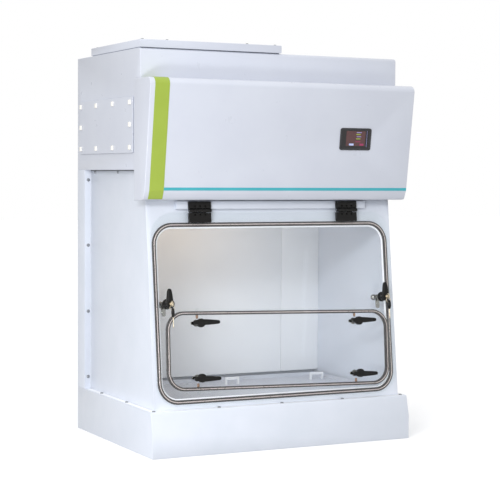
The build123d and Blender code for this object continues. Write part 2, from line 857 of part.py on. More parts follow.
for name, x, s, way in (
    ("upper_left", -latch_x, latch_upper, 1),
    ("upper_right", latch_x, latch_upper, 1),
    ("lower_left", -latch_x, latch_lower, -1),
    ("lower_right", latch_x, latch_lower, -1),
):
    arm_s = s + way * arm_shift
    with BuildPart() as knob:
        with BuildSketch(hatch_plane.offset(pane_front)):
            with Locations((x, s)):
                Circle(latch_hub_radius)
        extrude(amount=hub_height)
        with BuildSketch(hatch_plane.offset(pane_front + arm_lift)):
            with BuildLine():
                Polyline(
                    (x - heel_reach, arm_s + 5),
                    (x - 8, arm_s + 8),
                    (x + 8, arm_s + 8),
                    (x + arm_reach - 4, arm_s + 5.5),
                    (x + arm_reach, arm_s + 4),
                    (x + arm_reach, arm_s - 4),
                    (x + arm_reach - 4, arm_s - 5.5),
                    (x + 8, arm_s - 8),
                    (x - 8, arm_s - 8),
                    (x - heel_reach, arm_s - 5),
                    close=True,
                )
            make_face()
        extrude(amount=arm_thickness)
        with BuildSketch(hatch_plane.offset(pane_front)):
            with Locations((x, s)):
                Circle(shaft_radius)
        extrude(amount=shaft_grip, mode=Mode.SUBTRACT)
    knob.part.label = f"latch_knob_{name}"
    export_step(knob.part, f"parts/latch_knob_{name}.step")

    with BuildPart() as cam:
        with BuildSketch(hatch_plane.offset(cam_back)):
            with Locations((x, s)):
                Circle(shaft_radius)
        extrude(amount=pane_front + shaft_grip - cam_back)
        with BuildSketch(hatch_plane.offset(cam_back)):
            with Locations((x, s)):
                Circle(5.5)
            with Locations((x - cam_reach / 2, s)):
                Rectangle(cam_reach, cam_width)
        extrude(amount=cam_front - cam_back)
        with BuildSketch(hatch_plane.offset(cam_back)):
            with Locations((x, s)):
                Circle(nut_radius)
        extrude(amount=-nut_length)
        fillet(cam.faces().sort_by(Axis.Y)[-1].edges(), 3)
    cam.part.label = f"latch_cam_{name}"
    export_step(cam.part, f"parts/latch_cam_{name}.step")

# ---- Side latches of the door, with locks and keys

handle_front = 38
side_cam_back = -15
side_cam_front = -12
ball_radius = 9
ball_off = -34

for name, x in (("left", -side_latch_x), ("right", side_latch_x)):
    with BuildPart() as handle:
        with BuildSketch(on_slope(door_front)):
            with Locations((x, side_latch_s)):
                Circle(14)
        extrude(amount=3)
        with BuildSketch(on_slope(door_front + 3)):
            with Locations((x, side_latch_s)):
                Circle(12)
        extrude(amount=handle_front - door_front - 3)
        with BuildSketch(on_slope(handle_front - 12)):
            with BuildLine():
                Polyline(
                    (x - 9.5, side_latch_s),
                    (x - 6, side_latch_s + side_arm_reach - 3),
                    (x - 4, side_latch_s + side_arm_reach),
                    (x + 4, side_latch_s + side_arm_reach),
                    (x + 6, side_latch_s + side_arm_reach - 3),
                    (x + 9.5, side_latch_s),
                    close=True,
                )
            make_face()
        extrude(amount=12)
        with BuildSketch(on_slope(handle_front - 16)):
            with Locations((x, side_latch_s)):
                Circle(core_radius + running)
        extrude(amount=16, mode=Mode.SUBTRACT)
        with BuildSketch(on_slope(door_front)):
            with Locations((x, side_latch_s)):
                Circle(side_shaft_radius)
        extrude(amount=6, mode=Mode.SUBTRACT)
    handle.part.label = f"side_handle_{name}"
    export_step(handle.part, f"parts/side_handle_{name}.step")

    with BuildPart() as cam:
        with BuildSketch(on_slope(ball_off)):
            with Locations((x, side_latch_s)):
                Circle(side_shaft_radius)
        extrude(amount=door_front + 6 - ball_off)
        with BuildSketch(on_slope(side_cam_back)):
            with Locations((x, side_latch_s)):
                Circle(7.5)
            with Locations((x, side_latch_s - side_cam_reach / 2)):
                Rectangle(12, side_cam_reach)
        extrude(amount=side_cam_front - side_cam_back)
        with Locations(slope_plane.from_local_coords((x, side_latch_s, ball_off))):
            Sphere(ball_radius)
    cam.part.label = f"side_cam_{name}"
    export_step(cam.part, f"parts/side_cam_{name}.step")

    key_plane = Plane(
        origin=slope_plane.from_local_coords((x - 1, side_latch_s, 0)),
        x_dir=slope_plane.z_dir,
        z_dir=(-1, 0, 0),
    )
    bow_off = handle_front + 8
    ring_off = handle_front + 9
    ring_drop = -4
    with BuildPart() as key:
        with BuildSketch(on_slope(handle_front - 15.8)):
            with Locations((x, side_latch_s)):
                Circle(core_radius)
        extrude(amount=16.6)
        with BuildSketch(key_plane):
            with Locations((bow_off, 0)):
                RectangleRounded(16, 16, 5)
        extrude(amount=-2)
        with BuildSketch(key_plane):
            with Locations((ring_off, -ring_drop), (ring_off, ring_drop)):
                Circle(2.2)
        extrude(amount=-2, mode=Mode.SUBTRACT)
    key.part.label = f"lock_key_{name}"
    export_step(key.part, f"parts/lock_key_{name}.step")

    ring_s = side_latch_s + ring_drop - 7
    with BuildPart() as spare_key:
        with BuildSketch(key_plane):
            with Locations((50, -24)):
                RectangleRounded(16, 26, 5)
            with Locations((50, -50)):
                Rectangle(5, 27)
            with Locations((ring_off, ring_s - 7.5 - side_latch_s)):
                Circle(2.2, mode=Mode.SUBTRACT)
        extrude(amount=-2)
        with Locations(Plane(origin=slope_plane.from_local_coords((x, ring_s, ring_off)), z_dir=slope_plane.z_dir)):
            Torus(7, 0.8)
    spare_key.part.label = f"spare_key_{name}"
    export_step(spare_key.part, f"parts/spare_key_{name}.step")

# ---- Spill tray on the deck, with its lifting handles

tray_front = front + 80
tray_back = baffle_front - 4
tray_half = chamber_half - sheet - 5
tray_height = 14
tray_sheet = 3
handle_y = front + 400
handle_places = (28, 318)

with BuildPart() as spill_tray:
    with BuildSketch(Plane.XY.offset(plinth_height)):
        with Locations((0, (tray_front + tray_back) / 2)):
            RectangleRounded(2 * tray_half, tray_back - tray_front, 12)
    extrude(amount=tray_height)
    with BuildSketch(Plane.XY.offset(plinth_height + tray_sheet)):
        with Locations((0, (tray_front + tray_back) / 2)):
            RectangleRounded(2 * (tray_half - tray_sheet), tray_back - tray_front - 2 * tray_sheet, 9)
    extrude(amount=tray_height, mode=Mode.SUBTRACT)
spill_tray.part.label = "spill_tray"
export_step(spill_tray.part, "parts/spill_tray.step")

with BuildPart() as tray_handles:
    for place in handle_places:
        with BuildSketch(Plane.XZ.offset(-handle_y)):
            with Locations((place, plinth_height + tray_sheet + 11)):
                Rectangle(46, 22)
            with Locations((place, plinth_height + tray_sheet + 7)):
                Rectangle(34, 14, mode=Mode.SUBTRACT)
        extrude(amount=3, both=True)
tray_handles.part.label = "tray_handles"
export_step(tray_handles.part, "parts/tray_handles.step")

# ---- Pan-head screws of the panels

screw_radius = 5
screw_height = 3
ledge_z = plinth_height
ledge_planes = [
    Plane((x, front + 26, ledge_z)) for x in (-386, -193, 0, 193, 386)
] + [
    Plane((side * 387, front + y, ledge_z)) for side in (-1, 1) for y in (215, 406)
]
flange_planes = [
    Plane((side * 389, plenum_front, z), z_dir=(0, -1, 0)) for side in (-1, 1) for z in (159, 352, 546, 737)
]
recess_planes = [
    Plane((side * chamber_half, front + y, head_bottom - screw_radius - 0.5), z_dir=(side, 0, 0))
    for side in (-1, 1)
    for y in (160, 300, 480)
]
lid_planes = [
    Plane((x, y, lid_top), z_dir=(0, 0, 1))
    for x in (-width / 2 + 12, -316, -75, lid_right - 14)
    for y in (head_front + 14, lid_back - 20)
]
with BuildPart() as panel_screws:
    for plane in ledge_planes + flange_planes + recess_planes:
        with BuildSketch(plane):
            Circle(screw_radius)
        extrude(amount=screw_height, taper=18)
panel_screws.part.label = "panel_screws"
export_step(panel_screws.part, "parts/panel_screws.step")

with BuildPart() as lid_screws:
    for plane in lid_planes:
        with BuildSketch(plane):
            Circle(screw_radius)
        extrude(amount=screw_height, taper=18)
lid_screws.part.label = "lid_screws"
export_step(lid_screws.part, "parts/lid_screws.step")
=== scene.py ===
import json
import math

import bmesh
import bpy
from mathutils import Matrix, Vector


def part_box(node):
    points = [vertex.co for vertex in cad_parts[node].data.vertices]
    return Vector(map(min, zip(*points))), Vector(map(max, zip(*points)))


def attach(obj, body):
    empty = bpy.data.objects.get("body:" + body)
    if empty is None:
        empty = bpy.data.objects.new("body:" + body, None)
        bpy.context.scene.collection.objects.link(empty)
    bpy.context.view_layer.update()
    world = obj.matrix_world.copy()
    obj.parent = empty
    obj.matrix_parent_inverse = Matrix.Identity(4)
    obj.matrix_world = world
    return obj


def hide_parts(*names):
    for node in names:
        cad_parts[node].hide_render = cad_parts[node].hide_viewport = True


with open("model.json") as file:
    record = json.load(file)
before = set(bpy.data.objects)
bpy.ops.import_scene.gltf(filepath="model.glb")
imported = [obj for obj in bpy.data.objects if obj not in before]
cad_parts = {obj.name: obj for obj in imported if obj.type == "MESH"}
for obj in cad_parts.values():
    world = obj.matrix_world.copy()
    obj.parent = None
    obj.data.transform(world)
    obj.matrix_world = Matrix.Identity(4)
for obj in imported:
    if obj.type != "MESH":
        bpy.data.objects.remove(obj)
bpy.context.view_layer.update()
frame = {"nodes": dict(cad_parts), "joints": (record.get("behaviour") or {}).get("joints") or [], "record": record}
nodes = frame["nodes"]
bodies = frame["record"]["behaviour"]["bodies"]
joints = {joint["name"]: joint for joint in frame["joints"]}
mm = 0.001
print("frame loaded:", len(nodes), "nodes")

# The slanted front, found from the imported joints. Places on it are (x, s up the slope, off it), in mm.
across = Vector((1, 0, 0))
outward = Vector(joints["hatch_lift_off"]["axis"]).normalized()  # straight out of the slanted front
upSlope = outward.cross(across)
sideLatchUp = 267  # how far up the slope the side latches sit
slopeStart = Vector(joints["side_latch_left_turn"]["pos_m"]) - upSlope * sideLatchUp * mm
slopeStart.x = 0


def axesFrom(x, y, z):
    return Matrix((x, y, z)).transposed().to_4x4()


def onSlope(x, s, off):
    return slopeStart + (across * x + upSlope * s + outward * off) * mm


def slopeMatrix(x, s, off):
    # local X across, Y up the slope, Z out of the front
    return Matrix.Translation(onSlope(x, s, off)) @ axesFrom(across, upSlope, outward)


# the hatch is turned a little about its own middle
hatch = {"x": 5, "low": 29, "high": 234, "latchX": 247, "tilt": math.radians(1.4)}


def onHatch(x, s, off):
    middle = (hatch["low"] + hatch["high"]) / 2
    dx, ds = x - hatch["x"], s - middle
    turnCos, turnSin = math.cos(hatch["tilt"]), math.sin(hatch["tilt"])
    return onSlope(hatch["x"] + dx * turnCos + ds * turnSin, middle - dx * turnSin + ds * turnCos, off)


def hatchMatrix(x, s, off):
    turn = Matrix.Rotation(-hatch["tilt"], 4, "Z")
    return Matrix.Translation(onHatch(x, s, off)) @ axesFrom(across, upSlope, outward) @ turn


# the fascia leans out at its top; places on it are measured from the middle of the display window
fascia = {"lean": math.radians(8.03)}
fasciaOut = Vector((0, -math.cos(fascia["lean"]), -math.sin(fascia["lean"])))
fasciaUp = fasciaOut.cross(across)
screenLow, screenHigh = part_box("display_glass")
screenMiddle = (screenLow + screenHigh) / 2


def fasciaMatrix(x, v, off):
    # local X across, Y up the fascia, Z out of it
    place = screenMiddle + (across * x + fasciaUp * v + fasciaOut * off) * mm
    return Matrix.Translation(place) @ axesFrom(across, fasciaUp, fasciaOut)


camera = {
    "place": (-1.95368, -3.94396, 0.75136),
    "turn": 0.4656,  # radians from straight ahead towards +X
    "tip": -0.0489,  # radians, down
    "roll": 0.0059,
    "lens": 108.9,
    "sensor": 36,
    "farClip": 60,
}


def makeCamera(values):
    turn, tip, roll = values["turn"], values["tip"], values["roll"]
    ahead = Vector((math.sin(turn) * math.cos(tip), math.cos(turn) * math.cos(tip), math.sin(tip)))
    side = Vector((math.cos(turn), -math.sin(turn), 0))
    up = side.cross(ahead)
    right = side * math.cos(roll) + up * math.sin(roll)
    top = up * math.cos(roll) - side * math.sin(roll)
    data = bpy.data.cameras.new("camera")
    data.lens = values["lens"]
    data.sensor_width = values["sensor"]
    data.clip_end = values["farClip"]
    made = bpy.data.objects.new("camera", data)
    bpy.context.scene.collection.objects.link(made)
    made.matrix_world = Matrix.Translation(values["place"]) @ axesFrom(right, top, -ahead)
    bpy.context.scene.camera = made


makeCamera(camera)
print("camera set")


def hexLinear(code):
    # sRGB hex to the linear values that the shader takes
    parts = [int(code[i:i + 2], 16) / 255 for i in (1, 3, 5)]
    return tuple(c / 12.92 if c <= 0.04045 else ((c + 0.055) / 1.055) ** 2.4 for c in parts) + (1,)


def addNode(tree, kind, settings=None, links=()):
    # settings are sockets or node properties; each link is (from node, its output, my input)
    node = tree.nodes.new(kind)
    for name, value in (settings or {}).items():
        if isinstance(name, int) or name in node.inputs:
            node.inputs[name].default_value = value
        else:
            setattr(node, name, value)
    for source, output, socket in links:
        tree.links.new(source.outputs[output], node.inputs[socket])
    return node


def newTree(name):
    material = bpy.data.materials.new(name)
    material.use_nodes = True
    material.node_tree.nodes.clear()
    return material, material.node_tree


def surfaceMaterial(name, look):
    # one recipe for solid surfaces: two close tones, uneven roughness and a fine relief
    material, tree = newTree(name)
    place = addNode(tree, "ShaderNodeTexCoord")
    tone = addNode(
        tree, "ShaderNodeTexNoise",
        {"Scale": 1 / (look["toneSize"] * mm), "Detail": 3.0, "Roughness": 0.55},
        [(place, "Object", "Vector")],
    )
    toneRamp = addNode(
        tree, "ShaderNodeMapRange", {"From Min": 0.3, "From Max": 0.7}, [(tone, "Fac", "Value")],
    )
    colour = addNode(
        tree, "ShaderNodeMix",
        {"data_type": "RGBA", 6: hexLinear(look["colour"]), 7: hexLinear(look["shade"])},
        [(toneRamp, "Result", 0)],
    )
    wear = addNode(
        tree, "ShaderNodeTexNoise",
        {"Scale": 1 / (look["wearSize"] * mm), "Detail": 4.0, "Roughness": 0.6},
        [(place, "Object", "Vector")],
    )
    rough = addNode(
        tree, "ShaderNodeMapRange",
        {"From Min": 0.25, "From Max": 0.75, "To Min": look["rough"][0], "To Max": look["rough"][1]},
        [(wear, "Fac", "Value")],
    )
    grain = addNode(
        tree, "ShaderNodeTexNoise",
        {"Scale": 1 / (look["grainSize"] * mm), "Detail": 2.0},
        [(place, "Object", "Vector")],
    )
    relief = addNode(
        tree, "ShaderNodeBump",
        {"Strength": look["grainStrength"], "Distance": look["grainDepth"] * mm},
        [(grain, "Fac", "Height")],
    )
    shader = {"Metallic": look.get("metal", 0.0)}
    if "ior" in look:
        shader["IOR"] = look["ior"]
    if "specular" in look:
        shader["Specular IOR Level"] = look["specular"]
    if "glow" in look:
        shader["Emission Color"] = hexLinear(look["colour"])
        shader["Emission Strength"] = look["glow"]
    body = addNode(
        tree, "ShaderNodeBsdfPrincipled", shader,
        [(colour, 2, "Base Color"), (rough, "Result", "Roughness"), (relief, "Normal", "Normal")],
    )
    addNode(tree, "ShaderNodeOutputMaterial", {}, [(body, "BSDF", "Surface")])
    return material


# Each look is the stuff's colour, with painted light or shade in some as noted, sizes in millimetres, and typical
# shader values.
looks = {
    # pressed polypropylene sheet: cool white, waxy satin, a faint cloudiness and orange peel
    "polypropylenePressedSheet": {
        "colour": "#D6DBE5", "shade": "#D1D7E1", "toneSize": 90, "wearSize": 35, "rough": (0.30, 0.42),
        "grainSize": 5, "grainStrength": 0.10, "grainDepth": 0.12, "ior": 1.49,
    },
    # the same sheet painted greyer for head, fascia, lid, access panel and tray: painted shade where these stand
    # darker in the light; kept smoother by its late-peeled film
    "polypropyleneSheetPaintedShade": {
        "colour": "#CCD0DA", "shade": "#C8CCD7", "toneSize": 120, "wearSize": 40, "rough": (0.26, 0.36),
        "grainSize": 6, "grainStrength": 0.08, "grainDepth": 0.12, "ior": 1.49,
    },
    # chamber lining in the same sheet, painted lighter than the outside as painted light that brightens the shaded
    # chamber; wiped dull by cleaning
    "polypropyleneLiningPaintedLight": {
        "colour": "#F0F2F5", "shade": "#ECEEF2", "toneSize": 110, "wearSize": 30, "rough": (0.34, 0.5),
        "grainSize": 5, "grainStrength": 0.10, "grainDepth": 0.12, "ior": 1.49,
    },
    # hot-air weld rod: the same plastic, glossier where it melted
    "polypropyleneWeldRod": {
        "colour": "#D9DDE6", "shade": "#D0D5DF", "toneSize": 8, "wearSize": 4, "rough": (0.22, 0.36),
        "grainSize": 1.5, "grainStrength": 0.25, "grainDepth": 0.15, "ior": 1.49,
    },
    # moulded polyethylene caps: warmer white, shinier than the sheet
    "polyethyleneMouldedCap": {
        "colour": "#FBF9F3", "shade": "#F6F3EA", "toneSize": 12, "wearSize": 6, "rough": (0.2, 0.3),
        "grainSize": 1.2, "grainStrength": 0.08, "grainDepth": 0.05, "ior": 1.51,
    },
    # printed vinyl film: flat strong colour, slight stipple from the cast film
    "vinylFilmGreen": {
        "colour": "#9AAF40", "shade": "#96AB3B", "toneSize": 60, "wearSize": 20, "rough": (0.32, 0.4),
        "grainSize": 1.5, "grainStrength": 0.06, "grainDepth": 0.03, "ior": 1.53,
    },
    "vinylFilmTeal": {
        "colour": "#3FAAB6", "shade": "#3AA4B0", "toneSize": 60, "wearSize": 20, "rough": (0.32, 0.4),
        "grainSize": 1.5, "grainStrength": 0.06, "grainDepth": 0.03, "ior": 1.53,
    },
    # moulded ABS bezel with spark-eroded texture: charcoal, no clear reflection
    "absSparkTextured": {
        "colour": "#202023", "shade": "#1A1A1D", "toneSize": 15, "wearSize": 4, "rough": (0.45, 0.58),
        "grainSize": 0.8, "grainStrength": 0.3, "grainDepth": 0.06, "ior": 1.54,
    },
    # polished display window over a dark screen: nearly black with sharp reflections
    "acrylicSmokedWindow": {
        "colour": "#1B181A", "shade": "#171517", "toneSize": 30, "wearSize": 12, "rough": (0.06, 0.12),
        "grainSize": 8, "grainStrength": 0.02, "grainDepth": 0.02, "ior": 1.49,
    },
    # moulded nylon with glass fibre: near black, satin, fine pitted skin
    "nylonGlassFilledMoulded": {
        "colour": "#0E0D0C", "shade": "#080706", "toneSize": 9, "wearSize": 5, "rough": (0.34, 0.5),
        "grainSize": 0.7, "grainStrength": 0.35, "grainDepth": 0.06, "ior": 1.53, "specular": 0.22,
    },
    # extruded PVC edge trim: dark brown-black, waxy lips
    "pvcExtrudedTrim": {
        "colour": "#241A1A", "shade": "#1A1212", "toneSize": 25, "wearSize": 9, "rough": (0.3, 0.42),
        "grainSize": 1.2, "grainStrength": 0.1, "grainDepth": 0.04, "ior": 1.54, "specular": 0.3,
    },
    # the window's inner lip: milky soft PVC with a painted glow that lightens it where it sits in the trim's shade
    "pvcMilkyPaintedGlow": {
        "colour": "#F2F3F8", "shade": "#EBECF2", "toneSize": 30, "wearSize": 9, "rough": (0.35, 0.5),
        "grainSize": 1.2, "grainStrength": 0.1, "grainDepth": 0.04, "ior": 1.54, "glow": 0.22,
    },
    # painted highlight along the trim's crown: a light grey-brown, part metallic strip standing for the glossy
    # bead's reflection
    "pvcPaintedHighlightStrip": {
        "colour": "#DDD0CC", "shade": "#CFC1BC", "toneSize": 30, "wearSize": 8, "rough": (0.24, 0.36),
        "grainSize": 0.9, "grainStrength": 0.12, "grainDepth": 0.03, "metal": 0.55,
    },
    # zinc-plated screws: cool grey, slightly cloudy
    "zincPlatedSteel": {
        "colour": "#9A9DA1", "shade": "#83878C", "toneSize": 3, "wearSize": 1.5, "rough": (0.26, 0.45),
        "grainSize": 0.6, "grainStrength": 0.15, "grainDepth": 0.03, "metal": 1.0,
    },
    # tumbled bronze bars: coppery with duller patches
    "bronzeTumbled": {
        "colour": "#C39A7E", "shade": "#A67C62", "toneSize": 5, "wearSize": 3, "rough": (0.28, 0.45),
        "grainSize": 0.8, "grainStrength": 0.2, "grainDepth": 0.03, "metal": 1.0,
    },
    # chrome plate over polished steel: sharp reflections, its colour darkened to mid grey as painted shade for the
    # dark surroundings it mirrors
    "chromePlatedSteel": {
        "colour": "#A3A29E", "shade": "#959490", "toneSize": 8, "wearSize": 3, "rough": (0.06, 0.14),
        "grainSize": 2, "grainStrength": 0.04, "grainDepth": 0.02, "metal": 1.0,
    },
    # nickel-plated key brass: warm, scuffed by handling
    "nickelPlatedKey": {
        "colour": "#DDD3BF", "shade": "#C7B99E", "toneSize": 4, "wearSize": 2, "rough": (0.22, 0.42),
        "grainSize": 0.7, "grainStrength": 0.15, "grainDepth": 0.03, "metal": 0.9,
    },
    # galvanised sheet: blue-grey with large soft spangle
    "steelGalvanisedSpangle": {
        "colour": "#A4A8AB", "shade": "#8E9397", "toneSize": 14, "wearSize": 10, "rough": (0.32, 0.5),
        "grainSize": 3, "grainStrength": 0.08, "grainDepth": 0.03, "metal": 1.0,
    },
    # moulded filter cell frame: off-white, dull
    "polystyreneMouldedFrame": {
        "colour": "#D6D5CF", "shade": "#CDCCC5", "toneSize": 30, "wearSize": 12, "rough": (0.45, 0.6),
        "grainSize": 1.5, "grainStrength": 0.12, "grainDepth": 0.05, "ior": 1.55,
    },
    # needled fibre mat: soft white, no shine; fibres drawn three times as coarse as real ones
    "polyesterNeedledMat": {
        "colour": "#DADAD4", "shade": "#C4C4BD", "toneSize": 4, "wearSize": 3, "rough": (0.85, 0.98),
        "grainSize": 0.9, "grainStrength": 0.7, "grainDepth": 0.5, "ior": 1.5,
    },
    # closed-cell foam for the filter gasket, and the grey painted shadow line under the head: matt mid grey with
    # fine pores
    "neopreneFoamAndPaintedShadow": {
        "colour": "#686B71", "shade": "#5C5F65", "toneSize": 6, "wearSize": 4, "rough": (0.75, 0.9),
        "grainSize": 0.8, "grainStrength": 0.5, "grainDepth": 0.2, "ior": 1.5,
    },
    # white closed-cell foam under the lid, painted pale grey as the shadow in the gap at the lid's foot; matt
    "polyethyleneFoamPaintedShadow": {
        "colour": "#AEB4C0", "shade": "#A3A9B6", "toneSize": 6, "wearSize": 4, "rough": (0.7, 0.85),
        "grainSize": 0.8, "grainStrength": 0.4, "grainDepth": 0.15, "ior": 1.5,
    },
    # powder-coated motor can: black, orange peel about 2 mm across
    "steelPowderCoated": {
        "colour": "#26262A", "shade": "#1F1F22", "toneSize": 20, "wearSize": 8, "rough": (0.38, 0.5),
        "grainSize": 2, "grainStrength": 0.25, "grainDepth": 0.06, "ior": 1.5,
    },
    # circuit board under solder mask: deep green, glossy
    "fibreglassSolderMasked": {
        "colour": "#2A6B38", "shade": "#225C2F", "toneSize": 7, "wearSize": 4, "rough": (0.22, 0.35),
        "grainSize": 1.2, "grainStrength": 0.15, "grainDepth": 0.05, "ior": 1.55,
    },
    # opal lamp cover: milky, gently lit from behind
    "polycarbonateOpalCover": {
        "colour": "#F7F8FA", "shade": "#F0F2F5", "toneSize": 50, "wearSize": 20, "rough": (0.3, 0.4),
        "grainSize": 2, "grainStrength": 0.06, "grainDepth": 0.04, "ior": 1.58, "glow": 0.35,
    },
    # the display's own colours, printed light on dark glass
    "screenMaroonLit": {
        "colour": "#4F3030", "shade": "#462A2B", "toneSize": 20, "wearSize": 8, "rough": (0.12, 0.2),
        "grainSize": 2, "grainStrength": 0.02, "grainDepth": 0.01, "ior": 1.49, "glow": 0.25,
    },
    "screenLilacLit": {
        "colour": "#8C86B4", "shade": "#7F79A8", "toneSize": 4, "wearSize": 3, "rough": (0.12, 0.2),
        "grainSize": 2, "grainStrength": 0.02, "grainDepth": 0.01, "ior": 1.49, "glow": 0.3,
    },
    "screenGreenLit": {
        "colour": "#7F8A3A", "shade": "#727D33", "toneSize": 4, "wearSize": 3, "rough": (0.12, 0.2),
        "grainSize": 2, "grainStrength": 0.02, "grainDepth": 0.01, "ior": 1.49, "glow": 0.3,
    },
    "screenBlueWhiteLit": {
        "colour": "#A9B4DA", "shade": "#9AA6CF", "toneSize": 4, "wearSize": 3, "rough": (0.12, 0.2),
        "grainSize": 2, "grainStrength": 0.02, "grainDepth": 0.01, "ior": 1.49, "glow": 0.3,
    },
    "screenMagentaLit": {
        "colour": "#8E2C55", "shade": "#82274D", "toneSize": 4, "wearSize": 3, "rough": (0.12, 0.2),
        "grainSize": 2, "grainStrength": 0.02, "grainDepth": 0.01, "ior": 1.49, "glow": 0.3,
    },
}

# cast acrylic: clear, with a sharp surface reflection and faint scuffs from wiping
acrylic = {
    "tint": "#FDFEFE", "film": "#E6EBEE", "filmShare": (0.0048, 0.0128), "rough": (0.02, 0.06),
    "ior": 1.49, "scuffSize": 40,
}


def acrylicMaterial(name, look):
    material, tree = newTree(name)
    place = addNode(tree, "ShaderNodeTexCoord")
    scuff = addNode(
        tree, "ShaderNodeTexNoise",
        {"Scale": 1 / (look["scuffSize"] * mm), "Detail": 4.0},
        [(place, "Object", "Vector")],
    )
    rough = addNode(
        tree, "ShaderNodeMapRange",
        {"To Min": look["rough"][0], "To Max": look["rough"][1]},
        [(scuff, "Fac", "Value")],
    )
    haze = addNode(
        tree, "ShaderNodeMapRange",
        {
            "From Min": 0.4, "From Max": 0.8,
            "To Min": look["filmShare"][0], "To Max": look["filmShare"][1],
        },
        [(scuff, "Fac", "Value")],
    )
    through = addNode(tree, "ShaderNodeBsdfTransparent", {"Color": hexLinear(look["tint"])})
    film = addNode(tree, "ShaderNodeBsdfDiffuse", {"Color": hexLinear(look["film"])})
    hazy = addNode(
        tree, "ShaderNodeMixShader", {}, [(haze, "Result", 0), (through, "BSDF", 1), (film, "BSDF", 2)],
    )
    shine = addNode(
        tree, "ShaderNodeBsdfAnisotropic", {"Color": (1, 1, 1, 1)}, [(rough, "Result", "Roughness")],
    )
    # the same index on the way in and out, so no light is held inside the sheet
    face = addNode(tree, "ShaderNodeNewGeometry")
    index = addNode(
        tree, "ShaderNodeMapRange",
        {"To Min": look["ior"], "To Max": 1 / look["ior"]},
        [(face, "Backfacing", "Value")],
    )
    edge = addNode(tree, "ShaderNodeFresnel", {}, [(index, "Result", "IOR")])
    clear = addNode(
        tree, "ShaderNodeMixShader", {}, [(edge, "Fac", 0), (hazy, "Shader", 1), (shine, "BSDF", 2)],
    )
    addNode(tree, "ShaderNodeOutputMaterial", {}, [(clear, "Shader", "Surface")])
    return material


materials = {name: surfaceMaterial(name, look) for name, look in looks.items()}
materials["acrylicCastSheet"] = acrylicMaterial("acrylicCastSheet", acrylic)
print("materials made:", len(materials))

studio = {
    "floor": "#FFFFFF", "floorHalf": 20, "paperGrain": 2.5,
    "world": "#FFFFFF", "backdrop": 1.0,
    "below": 0.46, "above": 1.13,  # world strength near the ground and overhead
    "lowest": -0.3, "highest": 0.6,  # the heights between which it changes
}


def makeStudio(values):
    material, tree = newTree("studioPaper")
    place = addNode(tree, "ShaderNodeTexCoord")
    grain = addNode(
        tree, "ShaderNodeTexNoise", {"Scale": 1 / (values["paperGrain"] * mm)}, [(place, "Object", "Vector")],
    )
    relief = addNode(tree, "ShaderNodeBump", {"Strength": 0.02, "Distance": mm}, [(grain, "Fac", "Height")])
    paper = addNode(
        tree, "ShaderNodeBsdfPrincipled",
        {"Base Color": hexLinear(values["floor"]), "Roughness": 0.9},
        [(relief, "Normal", "Normal")],
    )
    addNode(tree, "ShaderNodeOutputMaterial", {}, [(paper, "BSDF", "Surface")])
    sheet = bmesh.new()
    bmesh.ops.create_grid(sheet, x_segments=8, y_segments=8, size=values["floorHalf"])
    mesh = bpy.data.meshes.new("floor")
    sheet.to_mesh(mesh)
    sheet.free()
    mesh.materials.append(material)
    floor = bpy.data.objects.new("floor", mesh)
    bpy.context.scene.collection.objects.link(floor)
    floor.visible_diffuse = False  # the white floor throws no light back up under the chin
    world = bpy.data.worlds.new("studio")
    world.use_nodes = True
    sky = world.node_tree
    # brighter overhead than near the ground, and plain white behind the part
    way = addNode(sky, "ShaderNodeTexCoord")
    parts = addNode(sky, "ShaderNodeSeparateXYZ", {}, [(way, "Generated", "Vector")])
    height = addNode(
        sky, "ShaderNodeMapRange",
        {
            "From Min": values["lowest"], "From Max": values["highest"],
            "To Min": values["below"], "To Max": values["above"],
        },
        [(parts, "Z", "Value")],
    )
    ray = addNode(sky, "ShaderNodeLightPath")
    strength = addNode(
        sky, "ShaderNodeMapRange",
        {"To Max": values["backdrop"]},
        [(ray, "Is Camera Ray", "Value"), (height, "Result", "To Min")],
    )
    sky.nodes["Background"].inputs["Color"].default_value = hexLinear(values["world"])
    sky.links.new(strength.outputs["Result"], sky.nodes["Background"].inputs["Strength"])
    bpy.context.scene.world = world
    bpy.context.scene.view_settings.view_transform = "Standard"


lights = {
    "keyLight": {
        "place": (-1.95, -2.4, 1.62), "target": (0, -0.1, 0.4),
        "size": (0.9, 0.4), "power": 34, "colour": "#FBFCFF",
    },
    "frontLight": {
        "place": (-1.5, -1.65, 0.28), "target": (-0.1, -0.2, 0.3),
        "size": (0.6, 0.3), "power": 12.5, "colour": "#FBFCFF",
    },
    # the warm glow under the chamber's lamp
    "chamberLight": {
        "place": (-0.16, -0.06, 0.7), "target": (-0.2, 0.2, 0.45),
        "size": (0.3, 0.12), "power": 0.42, "colour": "#FFE2BE",
    },
    # lifts the inside of the right wall
    "windowFill": {
        "place": (0.04, -0.17, 0.40), "target": (0.38, 0.05, 0.33),
        "size": (0.3, 0.3), "power": 0.2, "colour": "#F3F7FF",
    },
}


def makeLights(values):
    for name, light in values.items():
        data = bpy.data.lights.new(name, "AREA")
        data.shape = "RECTANGLE"
        data.size, data.size_y = light["size"]
        data.energy = light["power"]
        data.color = hexLinear(light["colour"])[:3]
        made = bpy.data.objects.new(name, data)
        bpy.context.scene.collection.objects.link(made)
        made.location = light["place"]
        made.rotation_euler = (Vector(light["target"]) - made.location).to_track_quat("-Z", "Y").to_euler()


makeStudio(studio)
makeLights(lights)
print("studio made")

samePoint = 0.002 * mm  # points closer than this are one
samePacked = 0.01 * mm  # the same, in a mesh that comes packed
flatWithin = math.radians(0.4)  # packed facets as flat to each other as this become one face


